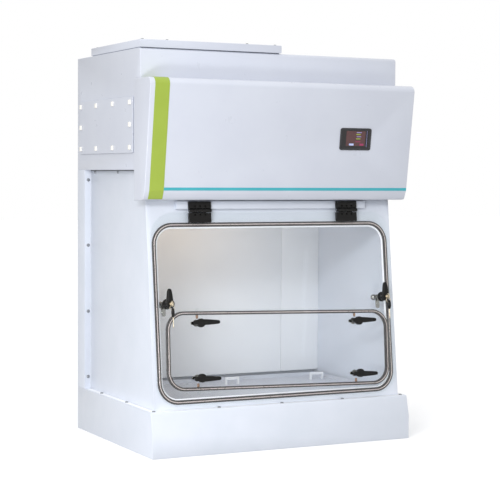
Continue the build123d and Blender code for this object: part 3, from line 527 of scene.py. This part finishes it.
def placePiece(name, shape, body, materialName, replaced=(), smooth=True):
    # closes the shape up into an object that rides on its body and stands for the replaced nodes
    bmesh.ops.remove_doubles(shape, verts=shape.verts, dist=samePoint)
    bmesh.ops.recalc_face_normals(shape, faces=shape.faces)
    mesh = bpy.data.meshes.new(name)
    shape.to_mesh(mesh)
    shape.free()
    mesh.polygons.foreach_set("use_smooth", [smooth] * len(mesh.polygons))
    mesh.materials.append(materials[materialName])
    made = bpy.data.objects.new(name, mesh)
    bpy.context.scene.collection.objects.link(made)
    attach(made, body)
    if replaced:
        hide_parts(*replaced)
    return made


def roundEdges(made, width, angle):
    bevel = made.modifiers.new("edges", "BEVEL")
    bevel.width = width * mm
    bevel.segments = 2
    bevel.limit_method = "ANGLE"
    bevel.angle_limit = math.radians(angle)
    bevel.harden_normals = True


def roundAngles(sides):
    return [2 * math.pi * i / sides for i in range(sides)]


def ringSkin(shape, rings, loop=False):
    # faces between one ring of points and the next, with closed ends or back to the first ring
    rows = [[shape.verts.new(point) for point in ring] for ring in rings]
    pairs = list(zip(rows, rows[1:] + rows[:1])) if loop else list(zip(rows, rows[1:]))
    for first, second in pairs:
        for i in range(len(first)):
            k = (i + 1) % len(first)
            shape.faces.new((first[i], first[k], second[k], second[i]))
    if not loop:
        shape.faces.new(list(reversed(rows[0])))
        shape.faces.new(rows[-1])


def turned(shape, profile, sides, matrix):
    # a turned solid about local Z, from (radius, height) pairs in millimetres
    rings = []
    for radius, height in profile:
        ring = [Vector((math.cos(a) * radius, math.sin(a) * radius, height)) * mm for a in roundAngles(sides)]
        rings.append([matrix @ point for point in ring])
    ringSkin(shape, rings)


def mirroredPlate(shape, matrix, outline, faces):
    # a flat plate along local X between two heights: (x, half width) pairs, the same on both sides
    rings = []
    for height in faces:
        upper = [Vector((x, half, height)) for x, half in outline]
        lower = [Vector((x, -half, height)) for x, half in reversed(outline)]
        rings.append([matrix @ (point * mm) for point in upper + lower])
    ringSkin(shape, rings)


def roundedLoop(halfWidth, low, high, radius, middle=0, steps=14):
    # corner by corner round a rectangle: places with the direction that points away from it
    loop = []
    for corner, (cx, cy) in enumerate(((1, 1), (-1, 1), (-1, -1), (1, -1))):
        x = middle + cx * (halfWidth - radius)
        y = (high - radius) if cy > 0 else (low + radius)
        for i in range(steps + 1):
            angle = math.radians(90 * corner + 90 * i / steps)
            away = Vector((math.cos(angle), math.sin(angle), 0))
            loop.append((Vector((x, y, 0)) + away * radius, away))
    return loop


def roundedPlate(shape, matrix, outline, thick):
    rings = [[matrix @ (Vector((place.x, place.y, z)) * mm) for place, away in outline] for z in (0, thick)]
    ringSkin(shape, rings)


def packedCopy(node, materialName):
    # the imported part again, with its flat facets joined into whole faces
    shape = bmesh.new()
    shape.from_mesh(nodes[node].data)
    bmesh.ops.remove_doubles(shape, verts=shape.verts, dist=samePacked)
    bmesh.ops.dissolve_limit(
        shape, angle_limit=flatWithin, verts=shape.verts, edges=shape.edges, use_dissolve_boundaries=False,
    )
    body = next(name for name, members in bodies.items() if node in members)
    return placePiece(node + "_shell", shape, body, materialName, (node,))


# Sheet work and mouldings: how wide their softened edges are in mm, and the stuff. The clear sheets
# have none, and their broad faces stay dead flat, so what they mirror stays clean.
panels = {
    "plinth": (1.2, "polypropylenePressedSheet"),
    "base_plate": (0.6, "polypropylenePressedSheet"),
    "deck": (0.6, "polypropyleneLiningPaintedLight"),
    "side_panel_left": (0.8, "polypropylenePressedSheet"),
    "side_panel_right": (0.8, "polypropylenePressedSheet"),
    "front_frame": (0.9, "polypropylenePressedSheet"),
    "rear_plenum": (1.2, "polypropylenePressedSheet"),
    "head_shell": (1.4, "polypropyleneSheetPaintedShade"),
    "chamber_ceiling": (0.6, "polypropyleneLiningPaintedLight"),
    "access_panel": (2.2, "polypropyleneSheetPaintedShade"),
    "top_lid": (0.8, "polypropyleneSheetPaintedShade"),
    "baffle_main": (0.8, "polypropyleneLiningPaintedLight"),
    "baffle_end": (0.8, "polypropyleneLiningPaintedLight"),
    "fascia": (0.8, "polypropyleneSheetPaintedShade"),
    "hinge_rail": (0.8, "polypropylenePressedSheet"),
    "spill_tray": (0.7, "polypropyleneSheetPaintedShade"),
    "tray_handles": (1.0, "polypropyleneLiningPaintedLight"),
    "access_caps": (1.3, "polyethyleneMouldedCap"),
    "display_bezel": (0.8, "absSparkTextured"),
    "hinge_fixed_leaves": (0.7, "nylonGlassFilledMoulded"),
    "hinge_door_leaves": (0.7, "nylonGlassFilledMoulded"),
    "door_sheet": (0, "acrylicCastSheet"),
    "hatch_pane": (0, "acrylicCastSheet"),
    "lamp": (1.5, "polycarbonateOpalCover"),
    "power_inlet": (0.5, "nylonGlassFilledMoulded"),
    "main_filter": (1.0, "polystyreneMouldedFrame"),
    "fan_deck": (0.5, "steelGalvanisedSpangle"),
    "fan_bracket": (0.5, "steelGalvanisedSpangle"),
    "fan_impeller": (0.3, "steelGalvanisedSpangle"),
}
for node, (width, materialName) in panels.items():
    made = packedCopy(node, materialName)
    if width:
        roundEdges(made, width, 30)
    else:
        made.data.shade_flat()
print("sheet work made:", len(panels))

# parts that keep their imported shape
plain = {
    "green_band": "vinylFilmGreen",
    "teal_band": "vinylFilmTeal",
    "display_glass": "acrylicSmokedWindow",
    "hinge_pins": "zincPlatedSteel",
    "filter_rails": "steelGalvanisedSpangle",
    "prefilter": "polyesterNeedledMat",
    "filter_gasket": "neopreneFoamAndPaintedShadow",
    "lid_gasket": "polyethyleneFoamPaintedShadow",
    "fan_motor": "steelPowderCoated",
    "control_board": "fibreglassSolderMasked",
}
for node, materialName in plain.items():
    nodes[node].data.materials.clear()
    nodes[node].data.materials.append(materials[materialName])
print("plain parts finished:", len(plain))

# Edge trims of the door window and the hatch: a dark lip over each face of the sheet and a light strip along the
# crown that is a painted highlight.
trims = {
    "door_seal": {
        "body": "cabinet", "on": onSlope, "half": 363, "low": 2, "high": 481, "radius": 54, "middle": 0,
        "lip": 5.8, "wall": (-8, 0), "reach": 3, "front": 3.6, "paintedHighlight": 2.0,
    },
    "hatch_seal": {
        "body": "door", "on": onHatch, "half": 342, "low": hatch["low"], "high": hatch["high"], "radius": 47,
        "middle": hatch["x"], "lip": 5, "wall": (4, 10), "reach": 2.5, "front": 3, "paintedHighlight": 1.8,
    },
}


def sweptTrim(profile, values):
    # the profile, (distance out from the window's edge, height), taken round the window
    shape = bmesh.new()
    on = values["on"]
    loop = roundedLoop(values["half"], values["low"], values["high"], values["radius"], values["middle"])
    ringSkin(shape, [[on(*(place + away * d).xy, h) for d, h in profile] for place, away in loop], loop=True)
    return shape


trimShape = {
    "tuck": 0.2, "clear": 0.02,  # lips start this far over the sheet, and the groove clears its edge
    "proud": 0.25,  # the strip stands a hair over the lip
    # the strip's section: (share of its half width, depth under its crown)
    "paintedHighlight": [
        (1, 1.3), (0.72, 0.42), (0.3, 0.02), (-0.3, 0.02), (-0.72, 0.42), (-1, 1.3), (-0.8, 1.6), (0.8, 1.6),
    ],
}


def bulgedLip(lip, base, rise, steps=10):
    # the crowned face of a trim lip over the sheet
    return [
        (lip * math.cos(math.pi * i / steps), base + rise * math.sin(math.pi * i / steps) ** 0.6)
        for i in range(steps + 1)
    ]


def makeTrim(node, values):
    wallBack, wallFront = values["wall"]
    lip, tuck, clear = values["lip"], trimShape["tuck"], trimShape["clear"]
    frontLip = bulgedLip(lip, wallFront + tuck, values["front"] - tuck)
    # the back lip is a front one turned over
    turnAt = wallBack - tuck
    backLip = [(-d, 2 * turnAt - h) for d, h in bulgedLip(lip, turnAt, values["reach"] - tuck)]
    groove = [(lip, wallBack), (clear, wallBack), (clear, wallFront), (lip, wallFront)]
    shape = sweptTrim(frontLip + backLip + groove, values)
    placePiece(node + "_trim", shape, values["body"], "pvcExtrudedTrim", (node,))
    # the painted highlight: a light strip let into the crown of the trim
    crown = wallFront + values["front"] + trimShape["proud"]
    paintedHighlight = [(values["paintedHighlight"] * share, crown - depth) for share, depth in trimShape["paintedHighlight"]]
    placePiece(node + "_painted_highlight", sweptTrim(paintedHighlight, values), values["body"], "pvcPaintedHighlightStrip")


for node, values in trims.items():
    makeTrim(node, values)

# pale inner lip of the window, just inside the dark trim, lit by a painted glow
innerLip = {"from": 5.9, "to": 9.8, "back": -7.0, "front": -1.2, "round": 1.1}


def makeInnerLip(values, window):
    outer, inner, r = -values["from"], -values["to"], values["round"]
    back, front = values["back"], values["front"]
    profile = [
        (outer, back), (outer, front), (inner + 2 * r, front), (inner + 0.6 * r, front - 0.5 * r),
        (inner, front - 1.5 * r), (inner, back + r), (inner + r, back),
    ]
    placePiece("window_inner_lip", sweptTrim(profile, window), "cabinet", "pvcMilkyPaintedGlow")


makeInnerLip(innerLip, trims["door_seal"])
print("trims made")

# Keeper bars for the hatch latches: bronze, on clear blocks bonded to the door.
keeper = {
    "half": 3.4, "back": -2.4, "front": 1.3, "sides": 16,
    # how wide the bar is along its length, (along, share): drawn-in ends and a collar before the cam
    "bar": [
        (-15, 0.75), (-14.4, 1), (-9, 1), (-8.4, 1.25), (-7, 1.25), (-6.4, 1), (3.6, 1), (4, 0.8),
    ],
    # the block carries the bar from under its end to its own foot
    "under": 4, "foot": 15, "gap": 0.2, "blockHalf": 4.4, "blockCorner": 1.5, "blockTop": 3.9,
}


def makeKeepers(values):
    bars, blocks = bmesh.new(), bmesh.new()
    under, foot = values["under"], values["foot"]
    middle = (values["back"] + values["front"]) / 2
    thick = (values["front"] - values["back"]) / 2
    blockLong = (foot - under) / 2
    outline = roundedLoop(values["blockHalf"], -blockLong, blockLong, values["blockCorner"], 0, 4)
    for s, way in ((hatch["high"], 1), (hatch["low"], -1)):
        for x in (-hatch["latchX"], hatch["latchX"]):
            rings = []
            for along, grow in values["bar"]:
                ring = []
                for a in roundAngles(values["sides"]):
                    px = x + values["half"] * grow * math.cos(a)
                    off = middle + thick * min(grow, 1) * math.sin(a)
                    ring.append(onHatch(px, s + way * along, off))
                rings.append(ring)
            ringSkin(bars, rings)
            matrix = hatchMatrix(x, s + way * (under + values["gap"] + foot) / 2, values["back"])
            roundedPlate(blocks, matrix, outline, values["blockTop"] - values["back"])
    placePiece("keeper_bars", bars, "door", "bronzeTumbled", ("hatch_keepers",))
    placePiece("keeper_blocks", blocks, "door", "acrylicCastSheet", smooth=False)


makeKeepers(keeper)
print("keepers made")


def wing(shape, sections, matrix, sides=20, squareness=0.62):
    # sections along local X: (x, half width, low height, high height), each a rounded box
    rings = []
    for x, half, low, high in sections:
        ring = []
        for angle in roundAngles(sides):
            c, s = math.cos(angle), math.sin(angle)
            y = half * math.copysign(abs(c) ** squareness, c)
            z = (low + high) / 2 + (high - low) / 2 * math.copysign(abs(s) ** squareness, s)
            ring.append(matrix @ (Vector((x, y, z)) * mm))
        rings.append(ring)
    ringSkin(shape, rings)


# The hatch latches: where each stands (x, s), and which way its arm is set off its shaft.
latches = {
    "upper_left": (-hatch["latchX"], 207, 1),
    "upper_right": (hatch["latchX"], 207, 1),
    "lower_left": (-hatch["latchX"], 58.5, -1),
    "lower_right": (hatch["latchX"], 58.5, -1),
}
latch = {
    "paneFront": 18.4, "armShift": 2, "camEdge": 0.4,
    # turned parts: (radius, height off the pane), and how many sides each is drawn with
    "sides": {"hub": 40, "shaft": 24, "washer": 28, "nut": 32},
    "hub": [
        (11, 0.05), (12, 0.8), (12, 5), (11.4, 6), (12, 7), (12, 11.5), (11.2, 13), (9, 13.9), (0.6, 14.2),
    ],
    "shaft": [(3.0, -24.5), (3.0, 4.0)],
    "washer": [(5.2, -6.5), (8.0, -6.3), (8.0, -5.2), (5.2, -5.05)],
    "nut": [
        (0.4, -33.9), (3.6, -33.5), (6.4, -32.2), (8.4, -30.2), (9.3, -27.8), (9.5, -25.6), (9.0, -24.9),
        (2.0, -24.9),
    ],
    # the wing from its heel to its blunt tip, and the bead along its back: (x, half width, low, high)
    "wing": [
        (-23.4, 2.4, 7.5, 12.0), (-22.8, 4.2, 5.6, 13.6), (-20.5, 5.2, 4.8, 14.4), (-15, 5.8, 4.4, 14.8),
        (-9, 7.2, 4.2, 15.0), (-3, 8.3, 4.2, 15.0), (8, 8.3, 4.2, 15.0), (20, 7.6, 4.4, 14.8),
        (34, 6.6, 4.8, 14.4), (46, 5.6, 5.4, 13.8), (51.5, 5.0, 5.8, 13.4), (54.4, 4.0, 6.6, 12.6),
        (55.2, 2.2, 7.8, 11.4),
    ],
    "bead": [(6, 0.8, 14.2, 15.6), (10, 1.5, 14.2, 15.8), (34, 1.2, 13.9, 15.2), (42, 0.5, 13.4, 14.6)],
    # the cam plate: (x, half width) and the heights of its two faces
    "cam": [(-16.5, 2.2), (-15.6, 3.6), (-13.6, 4.5), (0, 5.5), (3.8, 4.4), (5.5, 1.2)],
    "camFaces": (-24.9, -21.4),
}


def makeLatch(name, x, s, way, values):
    matrix = hatchMatrix(x, s, values["paneFront"])
    armMatrix = matrix @ Matrix.Translation(Vector((0, way * values["armShift"], 0)) * mm)
    body = "latch_" + name
    shape = bmesh.new()
    turned(shape, values["hub"], values["sides"]["hub"], matrix)
    wing(shape, values["wing"], armMatrix)
    wing(shape, values["bead"], armMatrix, 12, 1)
    knob = placePiece(
        "latch_wing_" + name, shape, body, "nylonGlassFilledMoulded", ("latch_knob_" + name,),
    )
    knob.modifiers.new("smooth", "SUBSURF").render_levels = 1
    # shaft, washer, domed nut and cam plate, all on the chamber side
    shape = bmesh.new()
    for part in ("shaft", "washer", "nut"):
        turned(shape, values[part], values["sides"][part], matrix)
    mirroredPlate(shape, matrix, values["cam"], values["camFaces"])
    cam = placePiece(
        "latch_cam_plate_" + name, shape, body, "chromePlatedSteel", ("latch_cam_" + name,),
    )
    roundEdges(cam, values["camEdge"], 40)


for name, (x, s, way) in latches.items():
    makeLatch(name, x, s, way, latch)
print("hatch latches made:", len(latches))

# Door side latches: a lever on a long hub that holds a lock, and a cam and end ball inside.
sideLatch = {
    "x": 337, "doorFront": 10, "hubEdge": 0.4, "camEdge": 0.5,
    "sides": {"hub": 44, "shaft": 28, "collar": 32, "nut": 32, "ball": 36},
    "hub": [
        (5.2, 0.05), (14, 0.05), (14, 1.8), (13.2, 2.8), (12, 3.0), (12, 7.5), (11.2, 8.2), (11.2, 9.2),
        (12, 9.9), (12, 26.4), (11.2, 27.6), (10, 28.0), (6.4, 28.0), (6.1, 27.6), (6.1, 12.0), (0.5, 12.0),
    ],
    # the lever starts beside the lock core, so the core stays clear in its bore
    "lever": [
        (7.6, 9.4, 16.0, 27.6), (9, 9.7, 15.8, 27.9), (13, 9.2, 15.8, 28.0), (20, 8.4, 16.0, 28.0),
        (28, 7.4, 16.4, 27.6), (35, 6.4, 17.0, 27.0), (39, 5.2, 18.0, 26.2), (41, 2.2, 20.4, 24.0),
    ],
    "shaft": [(5, -43.5), (5, 5.8)],
    "collar": [(5.2, -10.6), (9, -10.4), (9.4, -8.4), (9, -6.4), (5.2, -6.2)],
    "nut": [(5.2, -32), (7.4, -31.6), (7.4, -28.4), (5.2, -28)],
    "ball": 9, "ballTip": 0.3, "ballMiddle": -44, "ballSteps": 14,
    "cam": [(-32, 3.4), (-30.4, 5.0), (-27, 6.0), (0, 6.8), (5, 5.2), (7.5, 1.6)],
    "camFaces": (-25, -22),
}


def makeSideLatch(side, x, values):
    body = "side_latch_" + side
    matrix = slopeMatrix(x, sideLatchUp, values["doorFront"])
    upright = matrix @ Matrix.Rotation(math.radians(90), 4, "Z")
    shape = bmesh.new()
    turned(shape, values["hub"], values["sides"]["hub"], matrix)
    handle = placePiece(
        "side_lever_hub_" + side, shape, body, "nylonGlassFilledMoulded",
        ("side_handle_" + side,),
    )
    roundEdges(handle, values["hubEdge"], 50)
    shape = bmesh.new()
    wing(shape, values["lever"], upright)
    lever = placePiece("side_lever_" + side, shape, body, "nylonGlassFilledMoulded")
    lever.modifiers.new("smooth", "SUBSURF").render_levels = 1
    # shaft, collar, nut, polished end ball and cam plate
    shape = bmesh.new()
    for part in ("shaft", "collar", "nut"):
        turned(shape, values[part], values["sides"][part], matrix)
    angles = [math.pi * i / values["ballSteps"] for i in range(values["ballSteps"] + 1)]
    radius, middle = values["ball"], values["ballMiddle"]
    ball = [(max(radius * math.sin(a), values["ballTip"]), middle - radius * math.cos(a)) for a in angles]
    turned(shape, ball, values["sides"]["ball"], matrix)
    mirroredPlate(shape, upright, values["cam"], values["camFaces"])
    cam = placePiece(
        "side_cam_plate_" + side, shape, body, "chromePlatedSteel", ("side_cam_" + side,),
    )
    roundEdges(cam, values["camEdge"], 40)


# The lock in each side latch, its key, and the spare key that hangs from it on a split ring.
lockKeys = {
    "front": 38, "thick": 2.0, "shift": 1,  # the keys stand a little to the right of the lock's middle
    "core": [(3.4, -15.7), (3.4, 1.0), (3.0, 1.3), (0.4, 1.3)],
    "collar": [(3.5, 0.7), (5.6, 0.7), (6, 0.3), (6, -15.7), (3.5, -15.7)],
    # oval plates: where, half sizes, and the hole (x, y, radius)
    "bow": {"at": (46, 0, 0), "half": (8, 8), "hole": (1.2, 0, 2.6)},
    "grip": {"at": (50, -24, -0.6), "half": (8, 13), "hole": (-3, 5.8, 2.2), "extra": 1.2},
    "rim": 0.35,
    "ringOff": 47, "ringDrop": -11, "ring": 7, "wireRadius": 0.44, "ringShifts": (-0.42, 0.42),
    "sides": {"core": 28, "collar": 32, "ring": 40, "wire": 8},
    # the spare blade: its middle and back edge, and how far its cut edge stands out along it
    "bladeMiddle": 50, "bladeBack": 47.6, "bladeInset": 0.3,
    "cuts": [
        (-35, 2.5), (-40, 2.5), (-42, 1.2), (-44, 2.2), (-46, 1.0), (-48, 1.9), (-51, 0.8), (-54, 2.3),
        (-57, 1.4), (-61, 2.4), (-63.5, 0.6),
    ],
}


def ovalPlate(shape, matrix, plate, thick, rim, sides=28):
    # an oval disc with a round hole and a chamfered rim
    turn = matrix @ Matrix.Translation(Vector(plate["at"]) * mm)
    halfX, halfY = plate["half"]
    holeX, holeY, holeRadius = plate["hole"]
    layers = []
    for grow, height in ((-rim, 0), (0, rim), (0, thick - rim), (-rim, thick)):
        layers.append([
            Vector(((halfX + grow) * math.cos(a), (halfY + grow) * math.sin(a), height))
            for a in roundAngles(sides)
        ])
    for height in (thick, 0):
        layers.append([
            Vector((holeX + holeRadius * math.cos(a), holeY + holeRadius * math.sin(a), height))
            for a in roundAngles(sides)
        ])
    ringSkin(shape, [[turn @ (point * mm) for point in ring] for ring in layers], loop=True)


def splitRing(shape, matrix, values):
    # two close turns of wire
    for shift in values["ringShifts"]:
        rings = []
        for turn in roundAngles(values["sides"]["ring"]):
            along = Vector((math.cos(turn), math.sin(turn), 0))
            middle = along * values["ring"] + Vector((0, 0, shift))
            angles = roundAngles(values["sides"]["wire"])
            around = [along * math.cos(b) + Vector((0, 0, math.sin(b))) for b in angles]
            rings.append([matrix @ ((middle + away * values["wireRadius"]) * mm) for away in around])
        ringSkin(shape, rings, loop=True)


def keyBlade(shape, matrix, values):
    rings = []
    for height in (values["bladeInset"], values["thick"] - values["bladeInset"]):
        cutEdge = [Vector((values["bladeMiddle"] + out, s, height)) for s, out in values["cuts"]]
        backEdge = [Vector((values["bladeBack"], s, height)) for s, out in reversed(values["cuts"])]
        rings.append([matrix @ (point * mm) for point in cutEdge + backEdge])
    ringSkin(shape, rings)


def makeKeys(side, x, values):
    body = "key_" + side
    # local X out of the front, Y up the slope, Z towards -X
    keyMatrix = Matrix.Translation(onSlope(x + values["shift"], sideLatchUp, 0))
    keyMatrix = keyMatrix @ axesFrom(outward, upSlope, -across)
    coreMatrix = slopeMatrix(x, sideLatchUp, values["front"])
    shape = bmesh.new()
    turned(shape, values["core"], values["sides"]["core"], coreMatrix)
    ovalPlate(shape, keyMatrix, values["bow"], values["thick"], values["rim"])
    placePiece("key_bow_" + side, shape, body, "nickelPlatedKey", ("lock_key_" + side,))
    shape = bmesh.new()
    turned(shape, values["collar"], values["sides"]["collar"], coreMatrix)
    placePiece("lock_collar_" + side, shape, body, "nylonGlassFilledMoulded")
    shape = bmesh.new()
    splitRing(shape, slopeMatrix(x, sideLatchUp + values["ringDrop"], values["ringOff"]), values)
    keyBlade(shape, keyMatrix, values)
    placePiece(
        "spare_key_blade_" + side, shape, body, "nickelPlatedKey", ("spare_key_" + side,),
    )
    shape = bmesh.new()
    ovalPlate(shape, keyMatrix, values["grip"], values["thick"] + values["grip"]["extra"], values["rim"])
    placePiece("spare_key_grip_" + side, shape, body, "nylonGlassFilledMoulded")


for side, sign in (("left", -1), ("right", 1)):
    makeSideLatch(side, sign * sideLatch["x"], sideLatch)
    makeKeys(side, sign * sideLatch["x"], lockKeys)
print("side latches and keys made")

# Pan heads with a cross recess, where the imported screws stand, each left at its own angle.
screw = {
    "radius": 5.0, "height": 2.6, "cross": 2.6, "slotWidth": 0.55, "depth": 1.3, "step": 0.25, "turn": 37,
    "shares": [1.0, 0.985, 0.93, 0.84, 0.72, 0.6, 0.5, 0.42, 0.34, 0.26, 0.18, 0.1, 0.04],
}


def panHead(shape, matrix, values, sides=32):
    # rings from the rim inwards; points on the cross arms are pushed down
    angles = roundAngles(sides)
    rings = [[Vector((math.cos(a), math.sin(a), 0)) * values["radius"] for a in angles]]
    for share in values["shares"]:
        ring = []
        for angle in angles:
            px = values["radius"] * share * math.cos(angle)
            py = values["radius"] * share * math.sin(angle)
            height = values["height"] * (1 - share ** 3.2) + values["step"] * (share < 1)
            near, far = min(abs(px), abs(py)), max(abs(px), abs(py))
            inArm = near < values["slotWidth"] and far < values["cross"]
            ring.append(Vector((px, py, height - values["depth"] * inArm)))
        rings.append(ring)
    ringSkin(shape, [[matrix @ (point * mm) for point in ring] for ring in rings])


def packedIslands(node):
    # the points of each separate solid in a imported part
    shape = bmesh.new()
    shape.from_mesh(nodes[node].data)
    bmesh.ops.remove_doubles(shape, verts=shape.verts, dist=samePacked)
    islands, seen = [], set()
    for start in shape.verts:
        if start in seen:
            continue
        island, todo = [], [start]
        seen.add(start)
        while todo:
            vert = todo.pop()
            island.append(vert.co.copy())
            for edge in vert.link_edges:
                other = edge.other_vert(vert)
                if other not in seen:
                    seen.add(other)
                    todo.append(other)
        islands.append(island)
    shape.free()
    return islands


def screwPlaces(node):
    # the middle of each screw's seat and the way it points: a packed screw is flat along one axis
    places = []
    for island in packedIslands(node):
        low = Vector([min(p[k] for p in island) for k in range(3)])
        high = Vector([max(p[k] for p in island) for k in range(3)])
        axis = min(range(3), key=lambda k: (high - low)[k])
        middle = (low + high) / 2
        spread = {}
        for end in (low[axis], high[axis]):
            spread[end] = max((p - middle).length for p in island if abs(p[axis] - end) < 0.1 * mm)
        seat = max(spread, key=spread.get)
        point = Vector((0, 0, 0))
        point[axis] = 1 if seat == low[axis] else -1
        middle[axis] = seat
        places.append((middle, point))
    return places


for node in ("panel_screws", "lid_screws"):
    shape = bmesh.new()
    for index, (seat, point) in enumerate(screwPlaces(node)):
        matrix = Matrix.Translation(seat) @ point.to_track_quat("Z", "Y").to_matrix().to_4x4()
        panHead(shape, matrix @ Matrix.Rotation(math.radians(screw["turn"] * index), 4, "Z"), screw)
    placePiece(node + "_heads", shape, "cabinet", "zincPlatedSteel", (node,))
print("screws made")

# Display face: lit areas and touch keys, with no lettering.
displayLift = {"off": 1.0, "screen": 0.15, "mark": 0.3}
marks = [
    # name, material, x, v, width, height, radius
    ("screen", "screenMaroonLit", 0, 2, 62, 42, 1.5),
    ("heading_bar", "screenLilacLit", 10, 19, 16, 2.2, 0.5),
    ("reading_upper", "screenGreenLit", 8, 13.6, 14, 3.4, 0.6),
    ("reading_label", "screenLilacLit", 10, 7.2, 15, 1.8, 0.5),
    ("reading_lower", "screenGreenLit", 8, 1.4, 14, 3.4, 0.6),
    ("status_bar", "screenMagentaLit", 8, -7, 17, 1.8, 0.5),
    ("key_left", "screenBlueWhiteLit", -13, -15, 15, 5.6, 1.2),
    ("key_right", "screenMagentaLit", 20, -15, 13, 5.6, 1.2),
    ("level_bar", "screenLilacLit", 36, 1, 0.9, 46, 0.3),
]
for name, materialName, x, v, width, height, radius in marks:
    shape = bmesh.new()
    outline = roundedLoop(width / 2, -height / 2, height / 2, radius, 0, 4)
    thick = displayLift["screen"] if name == "screen" else displayLift["mark"]
    roundedPlate(shape, fasciaMatrix(x, v, displayLift["off"]), outline, thick)
    placePiece("display_" + name, shape, "cabinet", materialName, smooth=False)
print("display made:", len(marks), "marks")

# Painted shadow under the head's lower edge: a grey strip along the top of each chamber side wall, where the head
# sits on it.
headShadowLine = {
    "thick": 1.6, "high": 2.6, "chamfer": 0.6, "footShare": 0.8, "behindHead": 10, "atBack": 1, "drop": 0.1,
}


def makeShadowLineStrips(values):
    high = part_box("side_panel_right")[1]
    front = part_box("head_shell")[0].y + values["behindHead"] * mm
    back = high.y - values["atBack"] * mm
    top = high.z - values["drop"] * mm
    foot = top - values["high"] * mm
    for side, sign in (("left", -1), ("right", 1)):
        wall, face = sign * high.x, sign * (high.x + values["thick"] * mm)
        outline = (
            (wall, foot),
            (wall + (face - wall) * values["footShare"], foot),
            (face, foot + values["chamfer"] * mm),
            (face, top),
            (wall, top),
        )
        shape = bmesh.new()
        ringSkin(shape, [[Vector((x, y, z)) for x, z in outline] for y in (front, back)])
        placePiece("head_shadow_line_" + side, shape, "cabinet", "neopreneFoamAndPaintedShadow", smooth=False)


makeShadowLineStrips(headShadowLine)
print("shadow line strips made")

# Weld beads along the chamber's inner corners, the outer ledge and the rear flange.
weld = {
    "inner": 3.0, "outer": 2.2, "ripple": 2.4, "crest": 1.05, "valley": 0.94, "hollow": 0.30, "steps": 5,
    "gap": 0.2, "floorInset": 12, "ledgeInset": 4, "flangeFoot": 4, "flangeTop": 2,
}


def weldBead(name, start, end, sideA, sideB, size):
    # a rippled quarter-round fillet from start to end, in the corner between two directions
    run = Vector(end) - Vector(start)
    count = max(8, int(run.length / (weld["ripple"] * mm)))
    rings = []
    for i in range(count + 1):
        swell = size * (weld["valley"] if i % 2 else weld["crest"])
        centre = Vector(start) + run * i / count
        ring = [centre]
        for k in range(weld["steps"] + 1):
            angle = math.radians(90 * k / weld["steps"])
            bulge = 1 - weld["hollow"] * math.sin(2 * angle)
            ring.append(centre + (sideA * math.cos(angle) + sideB * math.sin(angle)) * swell * bulge * mm)
        rings.append(ring)
    shape = bmesh.new()
    ringSkin(shape, rings)
    placePiece(name, shape, "cabinet", "polypropyleneWeldRod")


wallLow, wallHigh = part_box("side_panel_right")
up, forward = Vector((0, 0, 1)), Vector((0, -1, 0))
gap = weld["gap"] * mm
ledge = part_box("deck")[1].z + gap
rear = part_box("rear_plenum")[0].y - gap
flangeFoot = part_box("deck")[1].z + weld["flangeFoot"] * mm
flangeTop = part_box("chamber_ceiling")[0].z - weld["flangeTop"] * mm
for name, sign in (("left", -1), ("right", 1)):
    inward = across * -sign
    inside = sign * (wallLow.x - gap)
    outside = sign * (wallHigh.x + gap)
    floorStart = (inside, wallLow.y + weld["floorInset"] * mm, ledge)
    weldBead("weld_floor_" + name, floorStart, (inside, rear, ledge), inward, up, weld["inner"])
    ledgeStart = (outside, wallLow.y + weld["ledgeInset"] * mm, ledge)
    weldBead("weld_ledge_" + name, ledgeStart, (outside, rear, ledge), -inward, up, weld["outer"])
    flangeStart = (outside, rear, flangeFoot)
    weldBead("weld_flange_" + name, flangeStart, (outside, rear, flangeTop), -inward, forward, weld["outer"])
print("weld beads made")
